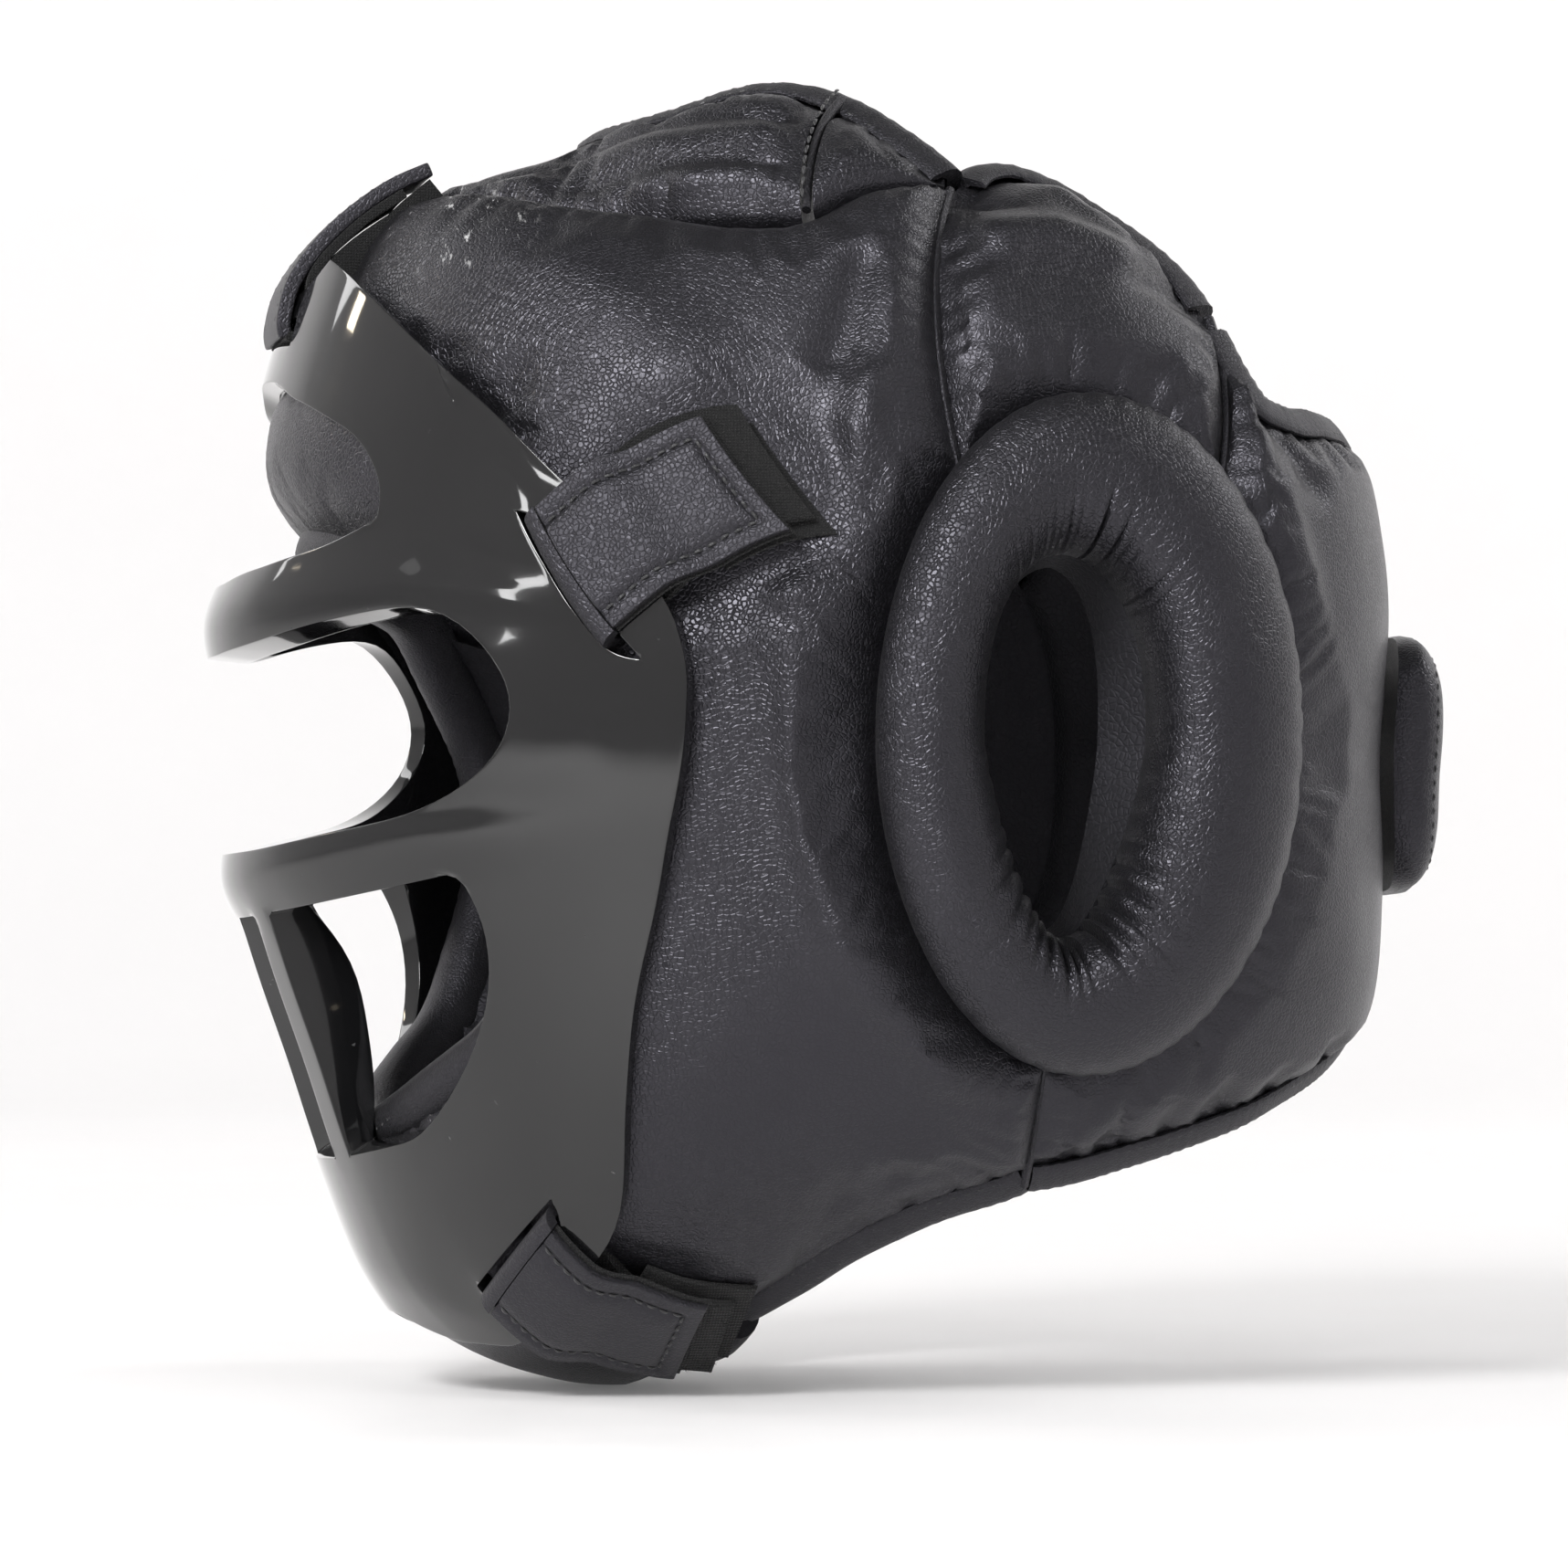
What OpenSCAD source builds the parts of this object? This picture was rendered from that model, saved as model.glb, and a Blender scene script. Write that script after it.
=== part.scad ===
// Boxing headgear with a moulded face cage
// Padded leather shell, rigid face cage held by hook-and-loop straps, rear closure flap.
// Millimetres, +Z up. The wearer faces -Y and the wearer's left is +X.
// The origin is the middle of the head cavity, on the line between the ears.

/* [Shell] */
// Half of the shell's width at the ears
half_width = 105; // [95:1:115]
// Depth of the padding from the outer leather to the head
pad_depth = 25; // [20:1:30]
// How far behind the cavity centre the ears lie
ear_y = 30; // [20:1:40]
// How far a pad's leather sinks toward its seams
seam_sink = 3.5; // [1:0.5:6]
// Clearance between neighbouring pads
seam_gap = 0.8; // [0.4:0.1:1.5]

/* [Ears] */
// Half of the ear ring's length, front to rear
ring_half_y = 44; // [38:1:50]
// Half of the ear ring's height
ring_half_z = 68; // [60:1:76]
// Half of the ear hole's width
hole_half_y = 17.5; // [12:0.5:20]
// Half of the ear hole's height
hole_half_z = 39.5; // [30:0.5:45]
// How far the ear ring stands out of the shell
ring_rise = 8; // [4:0.5:12]

/* [Face cage] */
// Half of the cage's width where it wraps the cheeks
cage_half_width = 111; // [106:0.5:116]
// Thickness of the moulded cage
cage_wall = 4.5; // [3:0.25:6]
// Depth of the brow bar, the lower bar and the two mouth bars
bar_depth = 13; // [8:0.5:16]
// How far the crests of the crossbars stand out
bar_crest = 1; // [0:0.5:4]

/* [Straps] */
// Width of the hook-and-loop straps
strap_w = 30; // [25:1:40]
// Thickness of one strap leg
strap_t = 2.2; // [1.5:0.1:3]
// Clearance between a strap and what it lies on
strap_gap = 0.4; // [0.2:0.1:0.8]
// Length of an upper or lower strap's outer leg
leg_len = 42; // [30:1:60]
// How much further the inner leg reaches
under_reach = 8; // [0:1:15]

/* [Hidden] */

leather = [0.15, 0.145, 0.16];
lining = [0.11, 0.11, 0.12];
plastic = [0.05, 0.05, 0.055];
fuzz = [0.19, 0.18, 0.19];

// Side outline of the shell: angle about the ears (0 rear, 90 up, 180 front), distance
side_profile = [
    [0, 91], [25, 101], [45, 115], [65, 128], [90, 141], [107, 156], [118, 157],
    [127, 161], [135, 169], [143, 168], [153, 162], [163, 155], [180, 150], [200, 153],
    [215, 164], [226, 170], [237, 162], [246, 150], [258, 142], [270, 135], [295, 122],
    [320, 111], [340, 97]
];
// Side outline of the cage's outer face, in the same terms
cage_profile = [
    [138, 183], [146, 177], [152, 172], [161, 168], [171, 167], [181, 165], [192, 163.5],
    [203, 162], [213, 167], [224, 175], [234, 173], [244, 166]
];

ring_back = 7;            // how far the ring's middle lies behind the ears
hole_back = 3;            // the same, for the hole's middle
layer = 15;               // depth where the outer pads end and the liners begin
rim_top = 5;              // depth of the leather at a bound rim
rim_bottom = 14;         // depth of the lining at a bound rim
hold = 0.25;              // share of a pad over which it falls to its edge
ring_gap = 0.4;           // clearance inside the ear ring's seam

// ---------------------------------------------------------------- small helpers
function lerp(a, b, k) = a + (b - a) * k;
function unit(v) = v / norm(v);
function smooth(k) = let (c = min(1, max(0, k))) c * c * (3 - 2 * c);
function turn(t) = t - 360 * floor(t / 360);
function flip(list) = [for (i = [len(list) - 1:-1:0]) list[i]];
function slice(list, a, b) = [for (i = [a:b]) list[i]];
function hermite(a, b, c, d, m1, m2, k) =
    (2 * pow(k, 3) - 3 * k * k + 1) * b + (pow(k, 3) - 2 * k * k + k) * m1
    + (3 * k * k - 2 * pow(k, 3)) * c + (pow(k, 3) - k * k) * m2;

// Smooth curve through the points of a table; around = 360 makes it close on itself
function curve(table, x, around = 0) = let (
    n = len(table),
    q = around > 0 ? turn(x) : min(table[n - 1][0] - 0.001, max(table[0][0], x)),
    i = max([for (k = [0:n - 1]) if (table[k][0] <= q) k]),
    a = knot(table, i - 1, around), b = knot(table, i, around),
    c = knot(table, i + 1, around), d = knot(table, i + 2, around),
    w = c[0] - b[0],
    m1 = (c[1] - a[1]) / max(0.001, c[0] - a[0]) * w,
    m2 = (d[1] - b[1]) / max(0.001, d[0] - b[0]) * w
) hermite(a[1], b[1], c[1], d[1], m1, m2, (q - b[0]) / w);
function knot(table, i, around) = let (n = len(table))
    around > 0 ? [table[(i + n) % n][0] + around * floor(i / n), table[(i + n) % n][1]]
    : table[min(n - 1, max(0, i))];

// ---------------------------------------------------------------- the shell's surface
// t is the direction about the ears seen from the side; s runs from 0 on the centre
// plane to 90 at the ear, negative on the right; d is the depth under the leather.
function fullness(t) = 2.2 + 0.25 * cos(t - 45);
function reach(t) = curve(side_profile, t, 360);
function head(t, s, d = 0) = let (
    r = (reach(t) - d) * pow(cos(s), 2 / fullness(t))
) [(half_width - d) * sin(s), ear_y + r * cos(t), r * sin(t)];
// The same surface, for a point given in side view by its distances from the ears
function side(y, z, d = 0) = let (
    t = atan2(z, y), k = min(0.999, norm([y, z]) / (reach(t) - d))
) [(half_width - d) * sqrt(1 - pow(k, fullness(t))), ear_y + y, z];
// Seam of the ear ring, grown by g, and the ear hole's edge, at ring angle a
function ring_edge(a, g = 0) = [ring_back + (ring_half_y + g) * cos(a), (ring_half_z + g) * sin(a)];
function hole_edge(a, g = 0) =
    [hole_back + (hole_half_y + g) * cos(a) * (1 + 0.2 * sin(a)), (hole_half_z + g) * sin(a) - 2.5];
function ring_ts(a, g = 0) = let (
    p = ring_edge(a, g), t = atan2(p[1], p[0]) + (a > 180 ? 360 : 0),
    k = norm(p) / reach(t)
) [t, acos(pow(k, fullness(t) / 2))];
// Point at depth d of the ear ring's cover or base, k of the way from its seam to the hole
function ring_point(a, k, d) = let (
    p = ring_ts(a, -ring_gap), r = (reach(p[0]) - d) * pow(cos(p[1]), 2 / fullness(p[0])),
    q = lerp(r * [cos(p[0]), sin(p[0])], hole_edge(a, 0.08 * max(0, d - 11)), k)
) side(q[0], q[1], d);

// ---------------------------------------------------------------- solids from grids
// Joins a top and a bottom grid of points into a closed solid; loop joins last to first
module slab(top, bottom, loop = false) {
    n = len(top);
    m = len(top[0]);
    rows = loop ? n : n - 1;
    function id(g, i, j) = g * n * m + (i % n) * m + j;
    function quad(a, b, c, d) = [[a, b, c], [a, c, d]];
    faces = concat(
        [for (i = [0:rows - 1], j = [0:m - 2])
            each quad(id(0, i, j), id(0, i, j + 1), id(0, i + 1, j + 1), id(0, i + 1, j))],
        [for (i = [0:rows - 1], j = [0:m - 2])
            each quad(id(1, i, j), id(1, i + 1, j), id(1, i + 1, j + 1), id(1, i, j + 1))],
        [for (i = [0:rows - 1])
            each quad(id(0, i, 0), id(0, i + 1, 0), id(1, i + 1, 0), id(1, i, 0))],
        [for (i = [0:rows - 1])
            each quad(id(0, i, m - 1), id(1, i, m - 1), id(1, i + 1, m - 1), id(0, i + 1, m - 1))],
        loop ? [] : [for (j = [0:m - 2])
            each quad(id(0, 0, j), id(1, 0, j), id(1, 0, j + 1), id(0, 0, j + 1))],
        loop ? [] : [for (j = [0:m - 2])
            each quad(id(0, n - 1, j), id(0, n - 1, j + 1), id(1, n - 1, j + 1), id(1, n - 1, j))]
    );
    polyhedron(points = [for (g = [top, bottom], row = g, p = row) p], faces = faces);
}

// Depth at (u, v) of a pad that keeps mid inside and falls to its four edges' depths
function fall(x) = pow(max(0, 1 - x / hold), 2);
function depth(u, v, mid, edges) = let (
    w = [fall(u), fall(1 - u), fall(v), fall(1 - v)], sum = w * [1, 1, 1, 1]
) sum == 0 ? mid : lerp(mid, (w * edges) / sum, max(w));
function grid(from, to, m, mid, edges) = let (n = len(from) - 1) [
    for (i = [0:n]) [for (j = [0:m]) let (p = lerp(from[i], to[i], j / m))
        head(p[0], p[1], depth(i / n, j / m, mid, edges))]
];
// A pad between two edges, each a list of [t, s]. The four edge depths are those of the
// first station, the last station, the first edge and the second edge.
module pad(from, to, m, top_mid, top_edges, low_mid, low_edges) {
    slab(grid(from, to, m, top_mid, top_edges), grid(from, to, m, low_mid, low_edges));
}

// A strip bound over a rim: a half-round band swept along the rim's [t, s] points
module bind(rim, out = 1, loop = false) {
    n = len(rim);
    section = [[0.5, -5.2], [0.5, 5.2], [2.6, 5], [4.4, 2.9], [5, 0], [4.4, -2.9], [2.6, -5]];
    function at(i) = loop ? rim[(i + n) % n] : rim[min(n - 1, max(0, i))];
    rings = [for (i = [0:n - 1]) let (
        top = head(at(i)[0], at(i)[1], rim_top), low = head(at(i)[0], at(i)[1], rim_bottom),
        next = head(at(i + 1)[0], at(i + 1)[1], rim_top),
        last = head(at(i - 1)[0], at(i - 1)[1], rim_top),
        up = unit(top - low), away = unit(cross(next - last, up)) * out
    ) [for (p = section) (top + low) / 2 + away * p[0] + up * p[1]]];
    m = len(section);
    rows = loop ? n : n - 1;
    function id(i, j) = (i % n) * m + (j % m);
    walls = [for (i = [0:rows - 1], j = [0:m - 1]) each [
        [id(i, j), id(i + 1, j), id(i + 1, j + 1)], [id(i, j), id(i + 1, j + 1), id(i, j + 1)]
    ]];
    caps = loop ? [] : [
        [for (j = [0:m - 1]) j], [for (j = [m - 1:-1:0]) (n - 1) * m + j]
    ];
    faces = concat(walls, caps);
    polyhedron([for (r = rings, p = r) p], out > 0 ? [for (f = faces) flip(f)] : faces);
}

// ---------------------------------------------------------------- seams and rims
// Each station: direction t and position s on the pad's far edge, then the ring angle
cheek_stations = [
    [97.4, 38.8, 127.5], [105, 41.4, 131], [113, 43.2, 134], [120, 39.5, 137],
    [126, 33.5, 140], [131, 26, 143], [134, 17, 145], [136.6, 8.5, 147], [137.8, 0.3, 149],
    [149.2, 0.3, 151], [149.2, 13, 153], [149.2, 26, 156], [149.4, 38.9, 160],
    [155, 38.6, 167], [166, 37, 174], [172, 42.5, 179], [180, 46.5, 184], [188, 47.5, 189],
    [196, 46, 194], [203, 42, 200], [209.4, 35, 207], [222, 31, 215], [234, 27, 224],
    [245.6, 23.2, 232], [248, 29, 239], [251.5, 36, 246], [257, 41, 253], [269.2, 44.8, 261]
];
upper_ear_stations = [
    [96.4, 36.8, 126.5], [93, 31.5, 117], [89, 28, 107], [84.5, 28, 97], [80, 30.5, 86],
    [75, 33, 74], [70, 36, 61], [66.5, 39, 47]
];
rear_stations = [
    [64.2, 42, 45.5], [60, 45, 40], [55, 46, 34], [50, 42, 28], [46, 34, 22], [42, 22, 16],
    [37, 11, 11], [31, 5, 6], [22, 4, 1], [8, 4, -6], [-6, 4, -13], [-18, 4, -20],
    [-28, 4.5, -27], [-36, 10, -35], [-43, 22, -45], [-51, 31, -56], [-62, 38, -69],
    [-76, 43, -84], [-90, 45, -98.5]
];
// Rim and lower seam of the crown front pad, from the centre to its side seam
crown_rim = [[121, 0], [119.6, 7], [115.5, 12], [110, 15], [106, 19], [104, 22.5]];
crown_seam = [[137, 0], [136.2, 8], [133.6, 16.6], [130.4, 25.4], [125, 33], [113.4, 41.8]];
wing_rim = [[103.2, 23.8], [101, 28], [98.6, 32.5], [97, 35.6]];
wing_seam = [[112.2, 42.4], [107, 41], [102, 39.6], [97.6, 38.2]];
brow_top = [for (k = [-1:1/6:1]) [149.9, 38.2 * k]];
brow_low = [for (k = [-1:1/6:1]) [163.5 + 2 * k * k, 36.3 * k]];
chin_top = [for (k = [-1:0.2:1]) [213 - 3 * k * k, 34 * k]];
chin_low = [for (k = [-1:0.2:1]) [246.5 - 0.6 * k * k, 22.6 * k]];

function far(stations) = [for (p = stations) [p[0], p[1]]];
function near(stations) = [for (p = stations) ring_ts(p[2], seam_gap)];
function both(half) = concat(
    [for (i = [len(half) - 1:-1:1]) [half[i][0], -half[i][1]]], half);

face_rim = concat(
    [for (k = [0:0.25:0.9]) [163.5 + 2 * k * k, 36.3 * k]],
    slice(far(cheek_stations), 14, 20),
    [for (k = [0.8:-0.2:0.1]) [213 - 3 * k * k, 34 * k]]
);
face_loop = concat(face_rim, [[213, 0]],
    [for (i = [len(face_rim) - 1:-1:1]) [face_rim[i][0], -face_rim[i][1]]]);

module mirrored(right) {
    mirror([right ? 1 : 0, 0, 0]) children();
}

// ---------------------------------------------------------------- the shell's pads
module brow_pad() color(leather)
    pad(brow_top, brow_low, 6, -4, [2, 2, 4, rim_top], layer - 0.4,
        [layer - 1, layer - 1, layer - 1, 9]);
module forehead_liner() color(lining)
    pad(brow_top, brow_low, 6, layer, [layer, layer, layer, 9.6],
        pad_depth, [pad_depth - 4, pad_depth - 4, pad_depth - 3, rim_bottom]);
module cheek_pad() color(leather)
    pad(near(cheek_stations), far(cheek_stations), 8, 0.4,
        [seam_sink, seam_sink, seam_sink, rim_top - 1], layer - 0.4,
        [layer - 1, layer - 1, layer - 1, 9]);
module temple_liner() color(lining)
    pad(slice(near(cheek_stations), 0, 13), slice(far(cheek_stations), 0, 13), 8,
        layer, [layer, layer, layer, layer],
        pad_depth, [pad_depth - 3, pad_depth - 3, pad_depth, pad_depth - 4]);
module cheek_liner() color(lining)
    pad(slice(near(cheek_stations), 14, 27), slice(far(cheek_stations), 14, 27), 8,
        layer, [layer, layer, layer, 10.3],
        pad_depth, [pad_depth - 3, pad_depth - 3, pad_depth, rim_bottom]);
module upper_ear_pad() color(leather)
    pad(near(upper_ear_stations), far(upper_ear_stations), 6, -0.5,
        [seam_sink, seam_sink, seam_sink, rim_top], pad_depth,
        [pad_depth - 2, pad_depth - 2, pad_depth, rim_bottom]);
module rear_pad() color(leather)
    pad(near(rear_stations), far(rear_stations), 7, -0.5,
        [seam_sink, seam_sink, seam_sink, rim_top], layer - 0.4,
        [layer - 1, layer - 1, layer - 1, 9]);
module rear_liner() color(lining)
    pad(near(rear_stations), far(rear_stations), 7, layer, [layer, layer, layer, 9.6],
        pad_depth, [pad_depth - 2, pad_depth - 2, pad_depth, rim_bottom]);
module crown_front_pad() color(leather)
    pad(both(crown_rim), both(crown_seam), 6, -1, [3, 3, rim_top, 3],
        pad_depth - 3, [pad_depth - 4, pad_depth - 4, rim_bottom, pad_depth - 4]);
module crown_wing() color(leather)
    pad(wing_rim, wing_seam, 4, 0, [3, 3, rim_top, 3],
        pad_depth - 4, [pad_depth - 5, pad_depth - 5, rim_bottom, pad_depth - 5]);
module chin_pad() color(leather)
    pad(chin_top, chin_low, 7, 0.4, [3, 3, rim_top, rim_top],
        pad_depth - 2, [pad_depth - 3, pad_depth - 3, rim_bottom, rim_bottom]);

// ---------------------------------------------------------------- ears
ring_shape = [[0, 5], [0.12, -0.4 * ring_rise], [0.35, -0.9 * ring_rise],
    [0.6, -ring_rise], [0.85, -0.6 * ring_rise], [1, 2]];
ring_steps = [for (a = [0:10:350]) a];
ring_floor = 11;          // depth where the ring's cover ends and its base begins
module ear_ring() color(leather)
    slab(
        [for (a = ring_steps) [for (p = ring_shape) ring_point(a, p[0], p[1])]],
        [for (a = ring_steps) [for (p = ring_shape) ring_point(a, p[0], ring_floor)]],
        loop = true);
module ear_base() color(lining)
    slab(
        [for (a = ring_steps) [for (p = ring_shape) ring_point(a, p[0], ring_floor + 0.4)]],
        [for (a = ring_steps) [for (p = ring_shape) ring_point(a, p[0], pad_depth)]],
        loop = true);

// ---------------------------------------------------------------- bound rims
module crown_binding() color(leather)
    bind(concat(
        [for (p = flip(wing_rim)) [p[0], -p[1]]], slice(both(crown_rim), 1, 9), wing_rim), -1);
module upper_ear_binding() color(leather)
    bind(concat([[93.8, 32.8]], slice(far(upper_ear_stations), 1, 7)), -1);
module rear_binding() color(leather)
    bind(far(rear_stations), -1);
module jaw_binding() color(leather)
    bind(slice(far(cheek_stations), 23, 27), 1);
module chin_binding() color(leather)
    bind(slice(chin_low, 1, len(chin_low) - 2), 1);
module face_binding() color(leather)
    bind(face_loop, 1, loop = true);

// ---------------------------------------------------------------- the face cage
// A point on the cage's outer face, moved out by e
function cage(t, s, e = 0) = let (
    r = (curve(cage_profile, t) + e) * pow(cos(s), 2 / fullness(t))
) [(cage_half_width + e) * sin(s), ear_y + r * cos(t), r * sin(t)];

edge_wall = cage_wall - 0.7;    // the cage is thinner round the forehead slot
// Lines across the cage from its top edge to its bottom edge. Each gives the direction t
// on the centre plane and beside a mouth bar, [t, s] at the openings' rear edge and
// [t, s] at the cage's own rear edge, how far it stands out, and the wall's depth there.
cage_lines = [
    [147, 144, [146.6, 30], [149.6, 43], 0, edge_wall],
    [148.6, 147.2, [149.2, 31], [151.6, 47.5], 0, edge_wall],
    [150.4, 150, [151.8, 31], [153, 51], 0, edge_wall],
    [153, 154, [155.6, 28], [154.6, 54], 0, cage_wall],
    [157.5, 157.5, [158.6, 32.4], [156.4, 56.3], 0, cage_wall],
    [163, 162, [161.6, 32.4], [158.8, 58.6], -0.5, cage_wall + 1.5],
    [168.2, 167.2, [164.4, 27], [161.2, 60.4], -bar_crest, 0.7 * bar_depth],
    [171, 170.2, [166, 36], [163.8, 61.6], bar_crest, bar_depth],
    [173.6, 173, [167.6, 40.5], [166.6, 62.3], -bar_crest, 0.7 * bar_depth],
    [177, 177, [171, 46.3], [170, 63], 0, cage_wall],
    [180, 180, [176, 49], [175, 63], 0, cage_wall],
    [183, 183, [181.6, 47.6], [180, 62.6], 0, cage_wall],
    [186, 186, [185.4, 43.4], [184.6, 62], 0, cage_wall],
    [188.4, 188.4, [187.4, 37], [188.6, 61.2], -bar_crest, 0.7 * bar_depth],
    [190.8, 190.8, [190, 38.6], [192, 60.3], bar_crest, bar_depth],
    [193.4, 193.4, [193.4, 40.6], [196, 59], -bar_crest, 0.7 * bar_depth],
    [199, 199, [198.4, 41.8], [201, 57.3], 0, bar_depth + 3],
    [205, 205, [205, 40], [206, 55.3], 0, bar_depth],
    [209.4, 209.4, [210.4, 35.4], [210, 53.4], 0, bar_depth - 2],
    [212.4, 212.8, [214, 27], [214.4, 51.3], 0, cage_wall + 2],
    [216, 217.6, [219.6, 22], [218.4, 49.6], 0, cage_wall],
    [219.2, 222, [226.2, 20], [222.6, 47.2], 0, cage_wall],
    [221.6, 224.8, [228.6, 19.6], [224.8, 45.7], 0, cage_wall],
    [224.4, 228.6, [231.4, 19.4], [230.4, 39.6], 0, cage_wall]
];
bar_in = 9;               // s of a mouth bar's side toward the centre
bar_out = 13;             // s of its other side
centre_steps = [0, 0.2, 0.42, 0.7, 1];           // from the mouth bar to the openings' edge
lower_steps = [0.13, 0.3, 0.47, 0.64, 1];        // from there to the rear edge, lowest lines
slot_half = 1.25;         // half of the upper slot's width, in s

// Where the upper strap's slot crosses line i: straight, and level with its neighbours
function slot_s(i) = let (
    c = cage_lines[i], t = lerp(c[2][0], c[3][0], 0.75)
) i < 4 ? c[3][1] - 8 : i > 9 ? c[3][1] - 5 : 48.3 + 0.76 * (t - 157.2);
function upper_steps(i) = let (e = cage_lines[i][2][1], r = cage_lines[i][3][1]) [
    0.2, 0.4, (slot_s(i) - slot_half - e) / (r - e), (slot_s(i) + slot_half - e) / (r - e), 1];

// Half of a line: points [t, s, out, wall] from the centre plane to the rear edge
function half_line(i) = let (
    c = cage_lines[i], e = c[2], r = c[3], k = smooth((i - 12) / 9),
    steps = lerp(upper_steps(i), lower_steps, k)
) concat(
    [[c[0], 0, c[4], c[5]], [c[0], bar_in / 2, c[4], c[5]],
        [lerp(c[0], c[1], i < 4 ? 0.15 : 0.5), bar_in, c[4], c[5]]],
    [for (f = centre_steps) let (g = 1 - smooth(f) * (i > 15 && i < 19 ? 1 : 0.35))
        [lerp(c[1], e[0], pow(f, 1.3)), lerp(bar_out, e[1], f), c[4] * g,
            lerp(cage_wall, c[5], g)]],
    [for (f = steps) let (g = 0.65 * (1 - smooth(f * 1.5)) * (i > 15 && i < 19 ? 0 : 1))
        [lerp(e[0], r[0], f), lerp(e[1], r[1], f), c[4] * g, lerp(cage_wall, c[5], g)]]
);
cage_rows = [for (i = [0:len(cage_lines) - 1]) let (h = half_line(i)) concat(
    [for (j = [len(h) - 1:-1:1]) [h[j][0], -h[j][1], h[j][2], h[j][3]]], h)];
half_cols = 12;
// Column numbers, counted from the centre plane
col_bar = 2;
col_opening = 7;
// True where the cage is open: row i and column j, counted from the centre plane
function open_cell(i, j) =
    (i == 1 && j < col_bar)                                  // forehead strap slot
    || (i >= 3 && i < 6 && j < col_opening)                  // forehead window
    || (i >= 8 && i < 13 && j < col_opening)                 // eye opening
    || (i >= 15 && i < 19 && j < col_opening && j != col_bar)    // mouth openings
    || (i >= 4 && i < 9 && j == col_opening + 3)             // upper strap slot
    || (i == 21 && j > col_opening && j < half_cols - 1);    // lower strap slot

module face_cage() {
    n = len(cage_rows);
    m = 2 * half_cols + 1;
    outer = [for (row = cage_rows) [for (p = row) cage(p[0], p[1], p[2])]];
    inner = [for (row = cage_rows) [for (p = row) cage(p[0], p[1], p[2] - p[3])]];
    function id(g, i, j) = g * n * m + i * m + j;
    function solid(i, j) = i >= 0 && i < n - 1 && j >= 0 && j < m - 1
        && !open_cell(i, j >= half_cols ? j - half_cols : half_cols - 1 - j);
    function quad(a, b, c, d) = [[a, b, c], [a, c, d]];
    faces = [for (i = [0:n - 1], j = [0:m - 1]) each concat(
        solid(i, j) ? concat(
            quad(id(0, i, j), id(0, i + 1, j), id(0, i + 1, j + 1), id(0, i, j + 1)),
            quad(id(1, i, j), id(1, i, j + 1), id(1, i + 1, j + 1), id(1, i + 1, j))) : [],
        solid(i, j) != solid(i - 1, j) && j < m - 1 ? (solid(i, j)
            ? quad(id(0, i, j), id(0, i, j + 1), id(1, i, j + 1), id(1, i, j))
            : quad(id(0, i, j), id(1, i, j), id(1, i, j + 1), id(0, i, j + 1))) : [],
        solid(i, j) != solid(i, j - 1) && i < n - 1 ? (solid(i, j)
            ? quad(id(0, i, j), id(1, i, j), id(1, i + 1, j), id(0, i + 1, j))
            : quad(id(0, i, j), id(0, i + 1, j), id(1, i + 1, j), id(1, i, j))) : []
    )];
    points = [for (g = [outer, inner], row = g, p = row) p];
    color(plastic) polyhedron(points = points, faces = faces);
}

// ---------------------------------------------------------------- straps
// Corners of a strap in [t, s]: both ends of its slot, then both ends of its far edge
upper_strap = [[157.6, 48.6], [168.4, 56.8], [138.6, 58.6], [144, 68.4]];
lower_strap = [[226.9, 24.1], [225, 36.4], [243, 19.5], [241, 33.6]];
edge_strip = 13;          // distance from a slot to the cage's edge
ride = 1.2;               // height of the loop patches' face over the leather

// A point on a strap: x along it from the slot, v across it, h above the loop patch.
// Near the slot it follows the cage's outer face, and further on the leather.
function on_strap(strap, x, v, e, h) = let (
    u = x / leg_len,
    a = lerp(strap[0], strap[1], v), b = lerp(strap[2], strap[3], v), p = lerp(a, b, u)
) lerp(cage(p[0], p[1], e), head(p[0], p[1], -ride - h), smooth((x - edge_strip - 1) / 12));
across = [0.02, 0.25, 0.5, 0.75, 0.98];
module leg(strap, xs, e, h) {
    slab(
        [for (x = xs) [for (v = across) on_strap(strap, x, v, e + strap_t, h + strap_t)]],
        [for (x = xs) [for (v = across) on_strap(strap, x, v, e, h)]]);
}
tab_steps = [2.2, 5, 9, 13, 17, 21, 26, 31, 36, leg_len];
module strap_tab(strap) color(leather)
    leg(strap, tab_steps, strap_gap, strap_t + 2 * strap_gap);
// The inner leg rises through the slot and runs back under the cage's edge
inner_under = -cage_wall - strap_gap;
module inner_leg(strap) color(fuzz) {
    run = [3, 6, 10, 14, 18, 22, 27, 33, 40, leg_len + under_reach];
    low = inner_under - strap_t;
    slab(
        concat(
            [for (e = [0.2, -2, inner_under])
                [for (v = across) on_strap(strap, 1.1, v, e, 0)]],
            [for (x = run) [for (v = across)
                on_strap(strap, x, v, inner_under, strap_gap + strap_t)]]),
        concat(
            [for (e = [0.2, -2, low])
                [for (v = across) on_strap(strap, -0.9, v, e, 0)]],
            [for (x = run) [for (v = across) on_strap(strap, x, v, low, strap_gap)]]));
}
// The loop patch on the leather under an inner leg's free end
module loop_patch(strap) color(fuzz) {
    xs = [edge_strip + 12, 30, 36, 42, leg_len + under_reach];
    slab(
        [for (x = xs) [for (v = across) on_strap(strap, x, v, 0, 0)]],
        [for (x = xs) [for (v = across) on_strap(strap, x, v, 0, -ride)]]);
}

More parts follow.
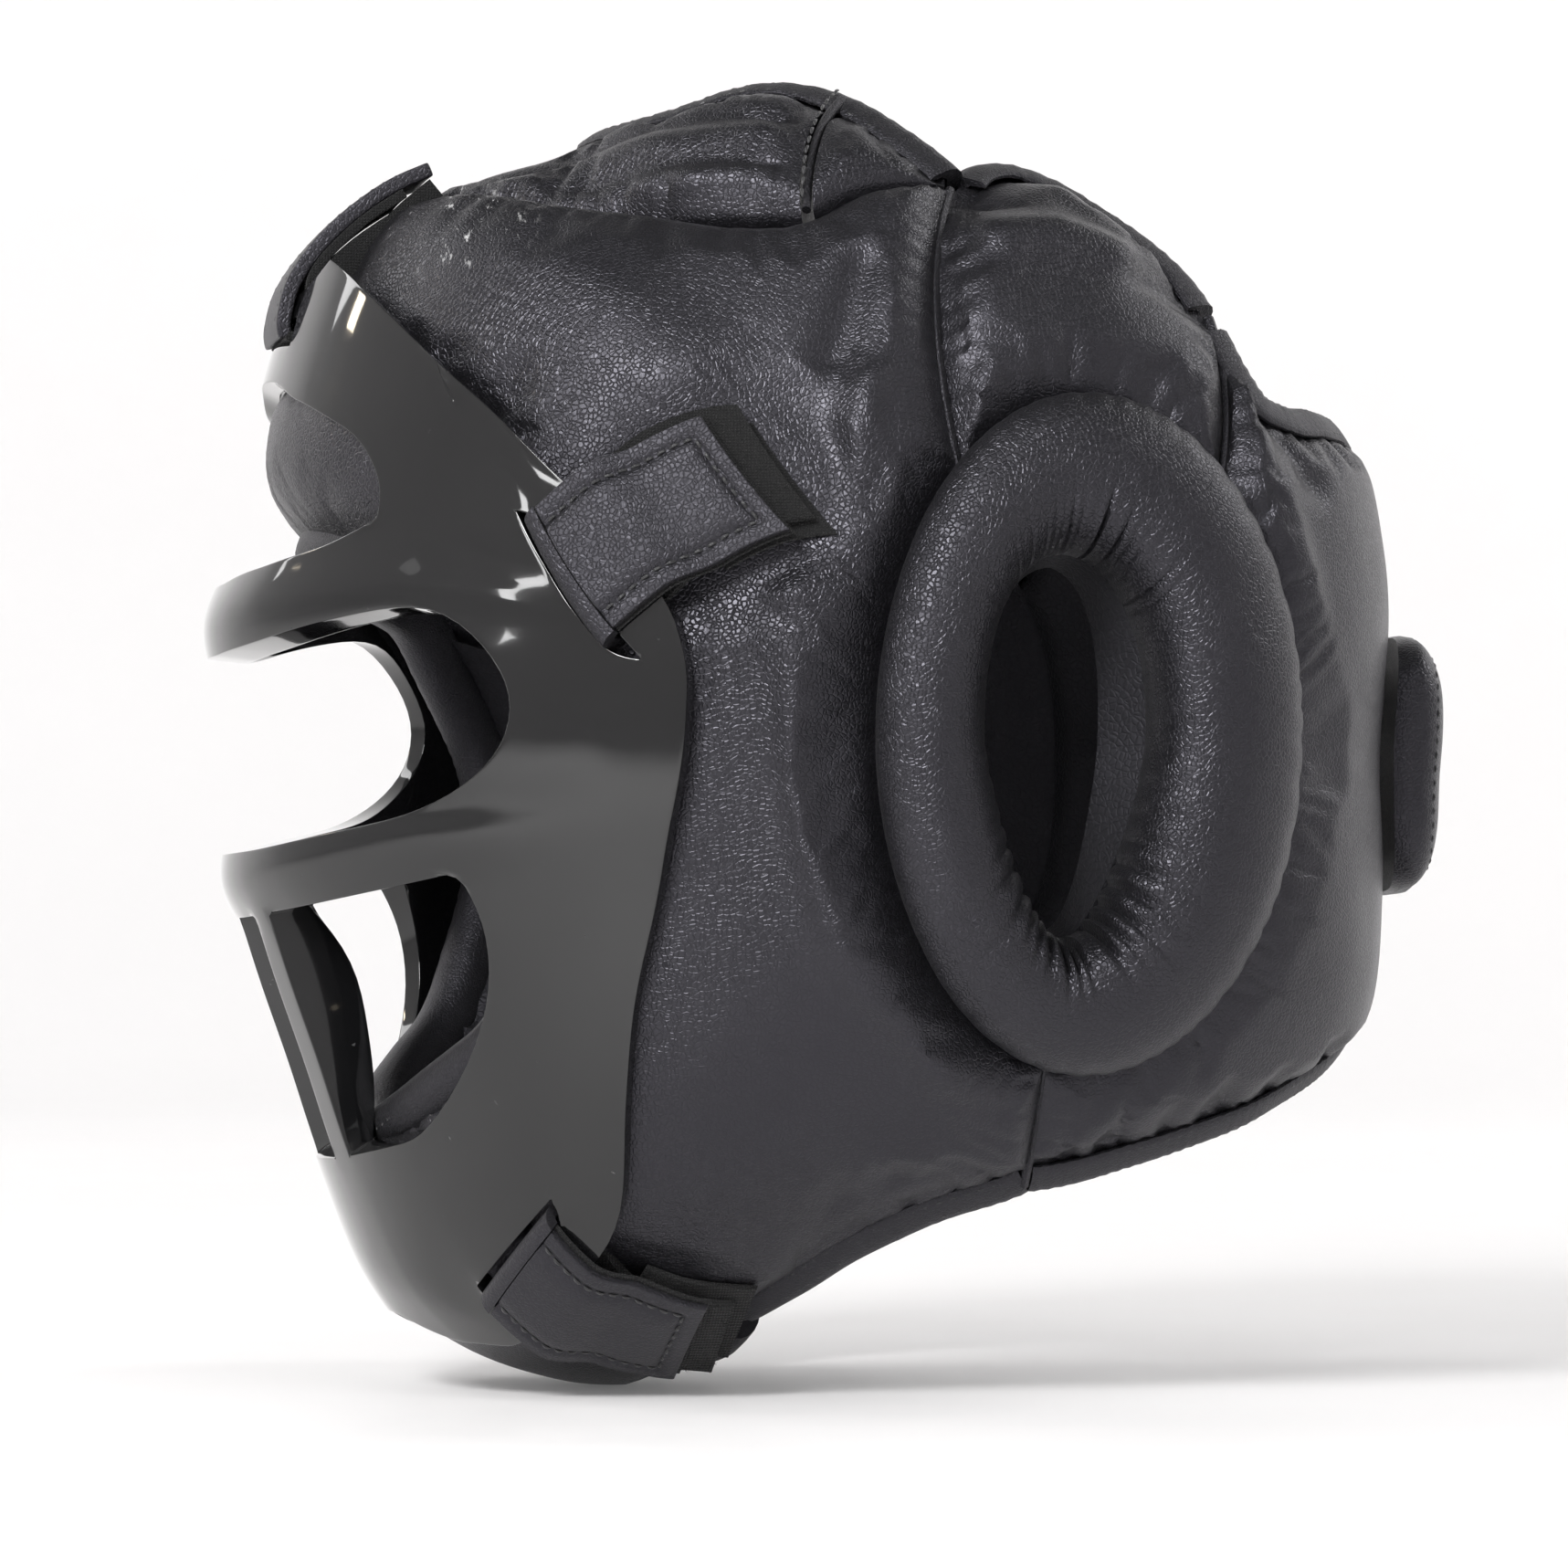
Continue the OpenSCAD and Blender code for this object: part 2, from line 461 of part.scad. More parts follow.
// The forehead strap lies on the centre plane: a side outline, pushed out to its width.
// Its points are [direction t, height over the leather].
function over(points) = [for (p = points) let (r = reach(p[0]) + p[1])
    [ear_y + r * cos(p[0]), r * sin(p[0])]];
function line_at(pts, off) = [for (i = [0:len(pts) - 1]) let (
    d = unit(pts[min(i + 1, len(pts) - 1)] - pts[max(i - 1, 0)])
) pts[i] + off * [-d[1], d[0]]];
module ribbon(pts, thick) {
    rotate([90, 0, 90]) translate([0, 0, -strap_w / 2 + 0.4])
        linear_extrude(strap_w - 0.8)
            polygon(concat(line_at(pts, thick / 2), flip(line_at(pts, -thick / 2))));
}
forehead_tab_line = over([[149.6, 12.4], [148.8, 13.5], [147.5, 13.9], [145.5, 11.4],
    [142, 6.7], [138, 3.1], [134.3, 2.3]]);
forehead_under_line = over([[149.6, 10.6], [149.5, 7.6], [148.9, 4.6], [147.8, 2.9],
    [146.2, 2.2], [144.4, 1.6], [142.6, 0.8], [140.8, 0.4], [138.2, 0.4]]);
forehead_patch_line = over([[143, -1.7], [141.4, -1.7], [139.8, -1.7], [138.2, -1.7]]);

// ---------------------------------------------------------------- rear closure
// Runs from its sewn edge on the left, over the gap between the rear pads, to the right
closure_half = 20;        // s of its two ends
closure_edge = [for (s = [closure_half:-4:-closure_half]) s];
module closure_flap() color(leather)
    pad([for (s = closure_edge) [14.4, s]], [for (s = closure_edge) [-18.6, s]], 6,
        -14, [-5.5, -5.5, -5.5, -5.5], -3, [-3, -3, -3, -3]);
module closure_hook_patch() color(fuzz)
    pad([for (s = [-6:-3:-18]) [11, s]], [for (s = [-6:-3:-18]) [-15, s]], 4,
        -2.7, [-2.7, -2.7, -2.7, -2.7], -1.9, [-1.9, -1.9, -1.9, -1.9]);
module closure_loop_patch() color(fuzz)
    pad([for (s = [-6:-3:-18]) [11, s]], [for (s = [-6:-3:-18]) [-15, s]], 4,
        -1.6, [-1.6, -1.6, -1.6, -1.6], -0.8, [-0.8, -0.8, -0.8, -0.8]);

brow_pad();
cheek_pad();  // cheek_pad_left
mirrored(true) cheek_pad();  // cheek_pad_right
chin_pad();
crown_front_pad();
crown_wing();  // crown_wing_left
mirrored(true) crown_wing();  // crown_wing_right
upper_ear_pad();  // upper_ear_pad_left
mirrored(true) upper_ear_pad();  // upper_ear_pad_right
rear_pad();  // rear_pad_left
mirrored(true) rear_pad();  // rear_pad_right
ear_base();  // ear_base_left
mirrored(true) ear_base();  // ear_base_right
ear_ring();  // ear_ring_left
mirrored(true) ear_ring();  // ear_ring_right
forehead_liner();
temple_liner();  // temple_liner_left
mirrored(true) temple_liner();  // temple_liner_right
cheek_liner();  // cheek_liner_left
mirrored(true) cheek_liner();  // cheek_liner_right
rear_liner();  // rear_liner_left
mirrored(true) rear_liner();  // rear_liner_right
crown_binding();
upper_ear_binding();  // upper_ear_binding_left
mirrored(true) upper_ear_binding();  // upper_ear_binding_right
rear_binding();  // rear_binding_left
mirrored(true) rear_binding();  // rear_binding_right
jaw_binding();  // jaw_binding_left
mirrored(true) jaw_binding();  // jaw_binding_right
chin_binding();
face_binding();
loop_patch(upper_strap);  // loop_patch_upper_left
mirrored(true) loop_patch(upper_strap);  // loop_patch_upper_right
loop_patch(lower_strap);  // loop_patch_lower_left
mirrored(true) loop_patch(lower_strap);  // loop_patch_lower_right
color(fuzz) ribbon(forehead_patch_line, 1);  // loop_patch_forehead
closure_loop_patch();
closure_flap();
closure_hook_patch();
face_cage();
inner_leg(upper_strap);  // inner_leg_upper_left
mirrored(true) inner_leg(upper_strap);  // inner_leg_upper_right
inner_leg(lower_strap);  // inner_leg_lower_left
mirrored(true) inner_leg(lower_strap);  // inner_leg_lower_right
color(fuzz) ribbon(forehead_under_line, strap_t);  // inner_leg_forehead
strap_tab(upper_strap);  // strap_tab_upper_left
mirrored(true) strap_tab(upper_strap);  // strap_tab_upper_right
strap_tab(lower_strap);  // strap_tab_lower_left
mirrored(true) strap_tab(lower_strap);  // strap_tab_lower_right
color(leather) ribbon(forehead_tab_line, strap_t);  // strap_tab_forehead
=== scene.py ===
"""Boxing headgear with a moulded face cage: the looks.

Lengths are millimetres until a mesh is made. The wearer faces -Y, +Z is up and the
wearer's left is +X. The shell's surface is described as in the CAD part: t is the
direction about the ears seen from the side (0 rear, 90 up, 180 front), s runs from 0 on
the centre plane to 90 at the ear, and d is the depth under the leather.
"""
import math

import bpy
import numpy as np
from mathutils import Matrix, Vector


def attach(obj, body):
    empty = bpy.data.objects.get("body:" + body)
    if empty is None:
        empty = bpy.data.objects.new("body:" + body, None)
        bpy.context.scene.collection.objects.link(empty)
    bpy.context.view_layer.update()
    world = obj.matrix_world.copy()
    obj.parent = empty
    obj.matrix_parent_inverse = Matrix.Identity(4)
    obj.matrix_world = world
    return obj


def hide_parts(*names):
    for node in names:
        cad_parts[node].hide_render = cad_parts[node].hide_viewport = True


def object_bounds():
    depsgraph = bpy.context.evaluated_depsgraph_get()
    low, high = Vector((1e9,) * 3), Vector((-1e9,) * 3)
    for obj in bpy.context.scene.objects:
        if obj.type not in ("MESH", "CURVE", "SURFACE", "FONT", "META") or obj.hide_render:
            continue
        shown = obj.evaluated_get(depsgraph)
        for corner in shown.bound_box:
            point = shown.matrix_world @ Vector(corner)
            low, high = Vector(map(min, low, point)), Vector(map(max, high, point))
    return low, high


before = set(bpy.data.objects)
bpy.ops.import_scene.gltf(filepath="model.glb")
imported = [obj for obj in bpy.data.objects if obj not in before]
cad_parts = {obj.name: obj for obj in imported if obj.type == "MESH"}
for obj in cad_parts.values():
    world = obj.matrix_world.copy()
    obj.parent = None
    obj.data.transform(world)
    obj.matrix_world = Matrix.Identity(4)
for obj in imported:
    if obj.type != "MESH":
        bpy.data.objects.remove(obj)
cad_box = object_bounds()

MM = 0.001
STEP = 1.9  # spacing of the pads' points

# ------------------------------------------------------------------ sizes
HALF_WIDTH = 105
EAR_Y = 30  # the ears lie this far behind the frame's origin
PAD = 25  # depth of the padding
LAYER = 15  # depth where the leather pads end and the liners begin
RING_BACK, RING_Y, RING_Z = 7, 44, 68
HOLE_BACK, HOLE_Y, HOLE_Z = 3, 17.5, 39.5
CAGE_HALF = 111
WALL = 4.5
BAR = 13  # depth of the cage's bars
CREST = 1  # height of the ridge along a bar

SIDE_PROFILE = [
    (0, 91), (25, 101), (45, 115), (65, 128), (90, 141), (107, 156), (118, 157),
    (127, 161), (135, 169), (143, 168), (153, 162), (163, 155), (180, 150), (200, 153),
    (215, 164), (226, 170), (237, 162), (246, 150), (258, 142), (270, 135), (295, 122),
    (320, 111), (340, 97),
]
CAGE_PROFILE = [
    (138, 183), (146, 177), (152, 172), (161, 168), (171, 167), (181, 165), (192, 163.5),
    (203, 162), (213, 167), (224, 175), (234, 173), (244, 166),
]


def hermite(f, p, q, m1, m2):
    """Between p and q at the share f of the way, with the slopes m1 and m2 there."""
    return ((2 * f**3 - 3 * f * f + 1) * p + (f**3 - 2 * f * f + f) * m1
            + (3 * f * f - 2 * f**3) * q + (f**3 - f * f) * m2)


def table(points, around=0):
    """A smooth curve through a table, sampled every tenth of a degree."""
    n = len(points)

    def knot(i):
        if around:
            return points[i % n][0] + around * (i // n), points[i % n][1]
        return points[min(n - 1, max(0, i))]

    xs, ys = [], []
    for i in range(n if around else n - 1):
        a, b, c, d = knot(i - 1), knot(i), knot(i + 1), knot(i + 2)
        w = c[0] - b[0]
        m1 = (c[1] - a[1]) / max(0.001, c[0] - a[0]) * w
        m2 = (d[1] - b[1]) / max(0.001, d[0] - b[0]) * w
        k = np.linspace(0, 1, max(2, int(w * 10)), endpoint=False)
        xs.append(b[0] + w * k)
        ys.append(hermite(k, b[1], c[1], m1, m2))
    last = knot(n) if around else points[-1]
    return np.append(np.concatenate(xs), last[0]), np.append(np.concatenate(ys), last[1])


SIDE_T, SIDE_R = table(SIDE_PROFILE, 360)
CAGE_T, CAGE_R = table(CAGE_PROFILE)


def reach(t):
    """The shell's size in direction t, in the side view."""
    return np.interp(np.mod(t, 360), SIDE_T, SIDE_R)


def fullness(t):
    """How boxy the shell is in direction t: 2 is an ellipse."""
    return 2.2 + 0.25 * np.cos(np.radians(t - 45))


def polar(r, half, t, s):
    """The point at side-view distance r in direction t, on a form of the given half width."""
    t, s = np.radians(t), np.radians(s)
    return np.stack([half * np.sin(s), EAR_Y + r * np.cos(t), r * np.sin(t)], -1)


def floats(*values):
    return np.broadcast_arrays(*(np.asarray(v, float) for v in values))


def head(t, s, d=0.0):
    """The shell's point at t, s and depth d."""
    t, s, d = floats(t, s, d)
    r = (reach(t) - d) * np.maximum(1e-9, np.cos(np.radians(s))) ** (2 / fullness(t))
    return polar(r, HALF_WIDTH - d, t, s)


def cage_at(t, s, e=0.0):
    """The cage's point at t, s and e outward from its outer face."""
    t, s, e = floats(t, s, e)
    r = (np.interp(t, CAGE_T, CAGE_R) + e) * np.cos(np.radians(s)) ** (2 / fullness(t))
    return polar(r, CAGE_HALF + e, t, s)


def side(y, z, d=0.0):
    """The shell's surface for a side view point, measured from the ears."""
    y, z, d = floats(y, z, d)
    t = np.degrees(np.arctan2(z, y))
    k = np.minimum(0.999, np.hypot(y, z) / (reach(t) - d))
    return np.stack([(HALF_WIDTH - d) * np.sqrt(1 - k ** fullness(t)), EAR_Y + y, z], -1)


def ring_ts(a, g=0.0):
    """Where the ear ring's seam, grown by g, lies at ring angle a."""
    a = np.asarray(a, float)
    y = RING_BACK + (RING_Y + g) * np.cos(np.radians(a))
    z = (RING_Z + g) * np.sin(np.radians(a))
    t = np.degrees(np.arctan2(z, y)) + np.where(a > 180, 360, 0)
    k = np.hypot(y, z) / reach(t)
    return np.stack([t, np.degrees(np.arccos(np.clip(k ** (fullness(t) / 2), -1, 1)))], -1)


def lerp(a, b, k):
    return a + (b - a) * k


def smooth(k):
    k = np.clip(k, 0, 1)
    return k * k * (3 - 2 * k)


def bump(x, w):
    return np.exp(-((x / w) ** 2))


def unit(v):
    return v / np.linalg.norm(v, axis=-1, keepdims=True)


# ------------------------------------------------------------------ noise
def hashed(ix, iy, iz):
    h = ix * 374761393 + iy * 668265263 + iz * 2147483647
    h = (h ^ (h >> 13)) * 1274126177 & 0x7FFFFFFF
    return ((h ^ (h >> 16)) & 0xFFFF) / 65535.0


def noise3(p, size, seed=0):
    """Smooth noise from -1 to 1 with features of the given size."""
    q = np.asarray(p, float) / size + seed * 17.31
    i = np.floor(q).astype(np.int64)
    f = q - i
    f = f * f * (3 - 2 * f)
    out = 0
    for dx in (0, 1):
        for dy in (0, 1):
            for dz in (0, 1):
                w = (np.where(dx, f[..., 0], 1 - f[..., 0])
                     * np.where(dy, f[..., 1], 1 - f[..., 1])
                     * np.where(dz, f[..., 2], 1 - f[..., 2]))
                out = out + w * hashed(i[..., 0] + dx, i[..., 1] + dy, i[..., 2] + dz)
    return 2 * out - 1


def noise1(x, seed=0):
    x = np.asarray(x, float)
    return noise3(np.stack([x, x * 0 + 3.7 * seed, x * 0], -1), 1.0, seed)


def creases(phase, width):
    """A soft line in the middle of each whole turn of the phase."""
    return bump(np.mod(phase, 1) - 0.5, width)


def chance(phase, scale, seed):
    """From 0 to 1, and the same all over one turn of the phase."""
    return 0.5 + 0.5 * noise1(np.floor(phase) * scale + 0.5, seed)


# ------------------------------------------------------------------ lines and grids
def spline(points, k, corners=()):
    """Smooth curve through points at station numbers k, kinked at the corners."""
    p = np.asarray(points, float)
    n = len(p)
    d = p[1:] - p[:-1]
    length = np.maximum(1e-6, np.linalg.norm(d, axis=-1, keepdims=True))
    v = np.zeros_like(p)
    v[0], v[-1] = (d / length)[0], (d / length)[-1]
    v[1:-1] = (d[1:] / length[1:] * length[:-1] + d[:-1] / length[:-1] * length[1:]) / (
        length[:-1] + length[1:])
    out, back = v.copy(), v.copy()
    for c in corners:
        if 0 < c < n - 1:
            out[c], back[c] = (d / length)[c], (d / length)[c - 1]
    i = np.clip(np.floor(k).astype(int), 0, n - 2)
    f = (np.asarray(k) - i)[:, None]
    m1, m2 = out[i] * length[i], back[i + 1] * length[i]
    return hermite(f, p[i], p[i + 1], m1, m2)


def stations(edges, step):
    """Station numbers, evenly spread, for edges given as lists of 3-D points."""
    ks = []
    for i in range(len(edges[0]) - 1):
        span = max(np.linalg.norm(e[i + 1] - e[i]) for e in edges)
        count = max(2, int(math.ceil(span * 0.85 / step)))
        ks.append(i + np.arange(count) / count)
    return np.append(np.concatenate(ks), len(edges[0]) - 1)


def along(line):
    return np.concatenate([[0], np.cumsum(np.linalg.norm(np.diff(line, axis=0), axis=1))])


def even(line, step, closed=False):
    """The line's points again at an even spacing."""
    if closed:
        line = np.vstack([line, line[:1]])
    length = along(line)
    n = max(3, int(round(length[-1] / step)))
    x = np.linspace(0, length[-1], n + 1)[: n if closed else n + 1]
    return np.stack([np.interp(x, length, column) for column in line.T], -1)


def dist(points, line):
    """Distance from each point to a line, and how far along the line it is nearest."""
    p = points.reshape(-1, 3)
    a, b = line[:-1], line[1:]
    ab = b - a
    square = np.maximum(1e-9, (ab**2).sum(-1))
    before = along(line)
    best = np.full(len(p), 1e9)
    where = np.zeros(len(p))
    for start in range(0, len(p), 4000):
        q = p[start:start + 4000, None, :] - a[None]
        k = np.clip((q * ab[None]).sum(-1) / square, 0, 1)
        e = np.linalg.norm(q - k[..., None] * ab[None], axis=-1)
        j = e.argmin(1)
        r = np.arange(len(j))
        best[start:start + 4000] = e[r, j]
        where[start:start + 4000] = before[j] + k[r, j] * np.sqrt(square[j])
    return best.reshape(points.shape[:-1]), where.reshape(points.shape[:-1])


# ------------------------------------------------------------------ meshes
def linked(name, data):
    piece = bpy.data.objects.new(name, data)
    bpy.context.scene.collection.objects.link(piece)
    return piece


def smooth_mesh(name, verts, faces, scale=MM):
    mesh = bpy.data.meshes.new(name)
    mesh.from_pydata((np.asarray(verts) * scale).tolist(), [], faces)
    mesh.polygons.foreach_set("use_smooth", [True] * len(mesh.polygons))
    return mesh


def make(name, solid, body, material, node=None, smooth_angle=45):
    """A piece that rides on a body, for a CAD node if one is named."""
    mesh = smooth_mesh(name, *solid)
    mesh.validate()
    mesh.set_sharp_from_angle(angle=math.radians(smooth_angle))
    mesh.materials.append(material)
    piece = linked(name, mesh)
    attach(piece, body)
    if node:
        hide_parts(node)
    return piece


def grid_faces(n, m, base=0, wrap_n=False, wrap_m=False, turned=False):
    faces = []
    for i in range(n if wrap_n else n - 1):
        for j in range(m if wrap_m else m - 1):
            a = base + i * m + j
            b = base + i * m + (j + 1) % m
            c = base + ((i + 1) % n) * m + (j + 1) % m
            d = base + ((i + 1) % n) * m + j
            faces.append((a, b, c, d) if not turned else (a, d, c, b))
    return faces


def closed(top, low, loop=False):
    """Vertices and faces of a closed slab between two grids of the same size."""
    n, m = top.shape[:2]
    verts = np.vstack([top.reshape(-1, 3), low.reshape(-1, 3)])
    faces = grid_faces(n, m, 0, loop) + grid_faces(n, m, n * m, loop, turned=True)
    rows = n if loop else n - 1
    for i in range(rows):
        a, b = i * m, ((i + 1) % n) * m
        faces.append((a, b, b + n * m, a + n * m))
        a, b = a + m - 1, b + m - 1
        faces.append((b, a, a + n * m, b + n * m))
    if not loop:
        for j in range(m - 1):
            faces.append((j + 1, j, j + n * m, j + 1 + n * m))
            a = (n - 1) * m + j
            faces.append((a, a + 1, a + 1 + n * m, a + n * m))
    return verts, outward(faces, top, low)


def mirror_of(verts, faces):
    return np.asarray(verts) * [-1, 1, 1], [f[::-1] for f in faces]


def outward(faces, grid, inside):
    """The faces, turned round if the grid's order makes them look toward the inside point."""
    i, j = grid.shape[0] // 2, grid.shape[1] // 2
    mid = grid[i, j]
    if np.dot(np.cross(grid[i, j + 1] - mid, grid[i + 1, j] - mid), mid - inside[i, j]) < 0:
        return [f[::-1] for f in faces]
    return faces


def sweep(line, ups, section, loop=False):
    """A closed section of (away, up) points swept along a line. ups is the outward
    direction at each point, and away is to the right of the way the line runs."""
    n, m = len(line), len(section)
    if loop:
        run = np.roll(line, -1, 0) - np.roll(line, 1, 0)
    else:
        run = np.gradient(line, axis=0)
    run = unit(run)
    away = unit(np.cross(run, ups))
    up = np.cross(away, run)
    sec = np.asarray(section, float)
    if sec.ndim == 2:
        sec = np.broadcast_to(sec, (n, m, 2))
    else:
        m = sec.shape[1]
    verts = (line[:, None] + away[:, None] * sec[..., :1] + up[:, None] * sec[..., 1:])
    faces = grid_faces(n, m, 0, loop, True)
    if not loop:
        faces += [tuple(range(m)), tuple((n - 1) * m + j for j in range(m))[::-1]]
    return verts.reshape(-1, 3), faces


def stitches(line, ups, pitch=3.4, length=2.5, radius=0.4, rise=0.14, seed=1, loop=False):
    """Short rounded threads laid along a line."""
    if loop:
        line, ups = (np.vstack([q, q[:1]]) for q in (line, ups))
    total = along(line)
    count = int(total[-1] / pitch)
    if count < 1:
        return np.zeros((0, 3)), []

    def at(values, x):
        return np.array([np.interp(x, total, column) for column in values.T])

    rng = np.random.default_rng(seed)
    verts, faces = [], []
    rings = [(-0.5, 0.25), (-0.3, 0.9), (0, 1.0), (0.3, 0.9), (0.5, 0.25)]
    sides = 6
    ends = [tuple(range(sides))[::-1], tuple(range((len(rings) - 1) * sides, len(rings) * sides))]
    for c in range(count):
        x = (c + 0.5) * total[-1] / count
        p, u = at(line, x), at(ups, x)
        u /= np.linalg.norm(u)
        t = at(line, x + 0.5) - at(line, x - 0.5)
        t /= max(1e-9, np.linalg.norm(t))
        w = np.cross(t, u)
        w /= np.linalg.norm(w)
        t = t + w * rng.uniform(-0.12, 0.12)
        p = p + w * rng.uniform(-0.08, 0.08)
        base = len(verts)
        for k, r in rings:
            lift = rise - 0.3 * (2 * k) ** 2
            for j in range(sides):
                turn = 2 * math.pi * j / sides
                verts.append(p + t * (k * length)
                             + u * (lift + radius * 0.8 * r * math.sin(turn))
                             + w * (radius * r * math.cos(turn)))
        faces += grid_faces(len(rings), sides, base, wrap_m=True)
        faces += [tuple(base + q for q in end) for end in ends]
    return np.array(verts), faces


def join(parts):
    verts, faces, base = [], [], 0
    for v, f in parts:
        if len(v):
            verts.append(v)
            faces += [tuple(i + base for i in q) for q in f]
            base += len(v)
    return np.vstack(verts), faces


# ------------------------------------------------------------------ materials
class Nodes:
    """Small helper around a material's node tree."""

    def __init__(self, name):
        self.mat = bpy.data.materials.new(name)
        self.mat.use_nodes = True
        self.tree = self.mat.node_tree
        self.bsdf = self.tree.nodes["Principled BSDF"]
        self.coord = self.tree.nodes.new("ShaderNodeTexCoord").outputs["Object"]

    def put(self, value, socket):
        """Links a socket, or sets a plain value."""
        if isinstance(value, bpy.types.NodeSocket):
            self.tree.links.new(value, socket)
        else:
            socket.default_value = value

    def add(self, kind, inputs=None, **props):
        node = self.tree.nodes.new("ShaderNode" + kind)
        for key, value in props.items():
            setattr(node, key, value)
        for key, value in (inputs or {}).items():
            self.put(value, node.inputs[key])
        return node

    def noise(self, scale, detail=3, rough=0.5, vector=None):
        return self.add("TexNoise", {"Vector": vector or self.coord, "Scale": scale,
                                     "Detail": detail, "Roughness": rough}).outputs["Fac"]

    def ramp(self, fac, a, b, lo=0.0, hi=1.0):
        return self.add("MapRange", {"Value": fac, "From Min": a, "From Max": b,
                                     "To Min": lo, "To Max": hi}).outputs["Result"]

    def math(self, op, a, b=0.0):
        return self.add("Math", {0: a, 1: b}, operation=op).outputs[0]

    def times(self, a, b):
        return self.math("MULTIPLY", a, b)

    def mix(self, fac, a, b):
        node = self.add("Mix", {"Factor": fac}, data_type="RGBA")
        for i, value in ((6, a), (7, b)):
            self.put((*value, 1) if isinstance(value, tuple) else value, node.inputs[i])
        return node.outputs[2]

    def bump(self, height, strength, distance, normal=None):
        inputs = {"Height": height, "Strength": strength, "Distance": distance}
        if normal is not None:
            inputs["Normal"] = normal
        return self.add("Bump", inputs).outputs["Normal"]

    def out(self, color, rough, normal=None, **plain):
        for key, value in (("Base Color", color), ("Roughness", rough), ("Normal", normal)):
            if value is not None:
                self.put(value, self.bsdf.inputs[key])
        for key, value in plain.items():
            self.bsdf.inputs[key.replace("_", " ")].default_value = value
        return self.mat


def leather(name, dark, light, grain=980, depth=0.00011, rough=(0.31, 0.4), scuffs=0.0):
    """Grained leather: grain is in cells per metre, and depth is the grooves' depth."""
    n = Nodes(name)
    warp = n.noise(260, 2)
    moved = n.add("VectorMath", {0: n.coord}, operation="ADD")
    shift = n.add("VectorMath", {0: warp, "Scale": 0.0011}, operation="SCALE")
    n.tree.links.new(shift.outputs[0], moved.inputs[1])
    cell = n.add("TexVoronoi", {"Vector": moved.outputs[0], "Scale": grain},
                 feature="DISTANCE_TO_EDGE").outputs["Distance"]
    pebble = n.ramp(cell, 0.0, 0.2)
    fine = n.noise(2400, 2, 0.6)
    big = n.noise(38, 3)
    # the grain is pulled flat where the leather is stretched or rubbed
    worn = n.ramp(n.noise(17, 3), 0.35, 0.65, 0.45, 1.0)
    height = n.math("ADD", n.times(pebble, worn), n.times(fine, 0.1))
    normal = n.bump(n.noise(75, 2), 0.14, 0.0008)
    normal = n.bump(height, 1.0, depth, normal)
    color = n.mix(n.ramp(big, 0.35, 0.65), dark, light)
    # painted shade: the grain's grooves are darkened in the colour, down to a fifth of the dark
    # tone
    color = n.mix(n.ramp(pebble, 0.0, 0.7, 0.62, 0.0), color, tuple(c * 0.2 for c in dark))
    dust = n.ramp(n.noise(420, 4, 0.7), 0.74, 0.84, 0.0, 0.035)
    color = n.mix(dust, color, (0.12, 0.12, 0.125))
    if scuffs:
        # pale rubbed streaks at the top of the forehead, on both sides
        flat = n.add("VectorMath", {0: n.coord, 1: (0, 1, 1)}, operation="MULTIPLY")
        spot = n.add("VectorMath", {0: flat.outputs[0], 1: (0, -0.0857, 0.1118)},
                     operation="DISTANCE").outputs["Value"]
        near = n.ramp(spot, 0.017, 0.008)
        thin = n.add("Mapping", {"Vector": n.coord, "Rotation": (0.9, 0.0, 0.0),
                                 "Scale": (0.5, 1, 0.18)})
        streak = n.ramp(n.noise(300, 4, 0.75, thin.outputs[0]), 0.6, 0.66)
        color = n.mix(n.times(n.times(near, streak), scuffs), color,
                      (0.55, 0.55, 0.55))
    r = n.ramp(n.math("ADD", n.times(big, 0.5), n.times(fine, 0.5)),
               0.3, 0.7, *rough)
    return n.out(color, r, normal, Specular_IOR_Level=0.52, Specular_Tint=(0.9, 0.88, 1, 1),
                 Sheen_Weight=0.02, Sheen_Roughness=0.5)


def plastic(name):
    """Polished moulding under a clear coat, with dust, lint and smears."""
    n = Nodes(name)
    wave = n.bump(n.noise(24, 2), 0.07, 0.004)
    wave = n.bump(n.noise(900, 3, 0.6), 0.05, 0.00008, wave)
    speck = n.ramp(n.noise(1500, 4, 0.75), 0.76, 0.8)
    lint = n.add("Mapping", {"Vector": n.coord, "Scale": (1, 0.16, 0.5),
                             "Rotation": (0.8, 0.3, 0.2)})
    line = n.ramp(n.noise(700, 3, 0.7, lint.outputs[0]), 0.735, 0.75)
    dust = n.math("MAXIMUM", speck, n.times(line, 0.6))
    tone = n.mix(n.noise(30, 3), (0.0045, 0.0045, 0.005), (0.0075, 0.0075, 0.008))
    color = n.mix(n.times(dust, 0.35), tone, (0.3, 0.3, 0.3))
    smear = n.ramp(n.noise(55, 5, 0.6), 0.4, 0.75, 0.05, 0.14)
    rough = n.math("ADD", smear, n.times(dust, 0.4))
    return n.out(color, rough, wave, Specular_IOR_Level=0.15, Coat_Weight=1.0,
                 Coat_Roughness=0.04)


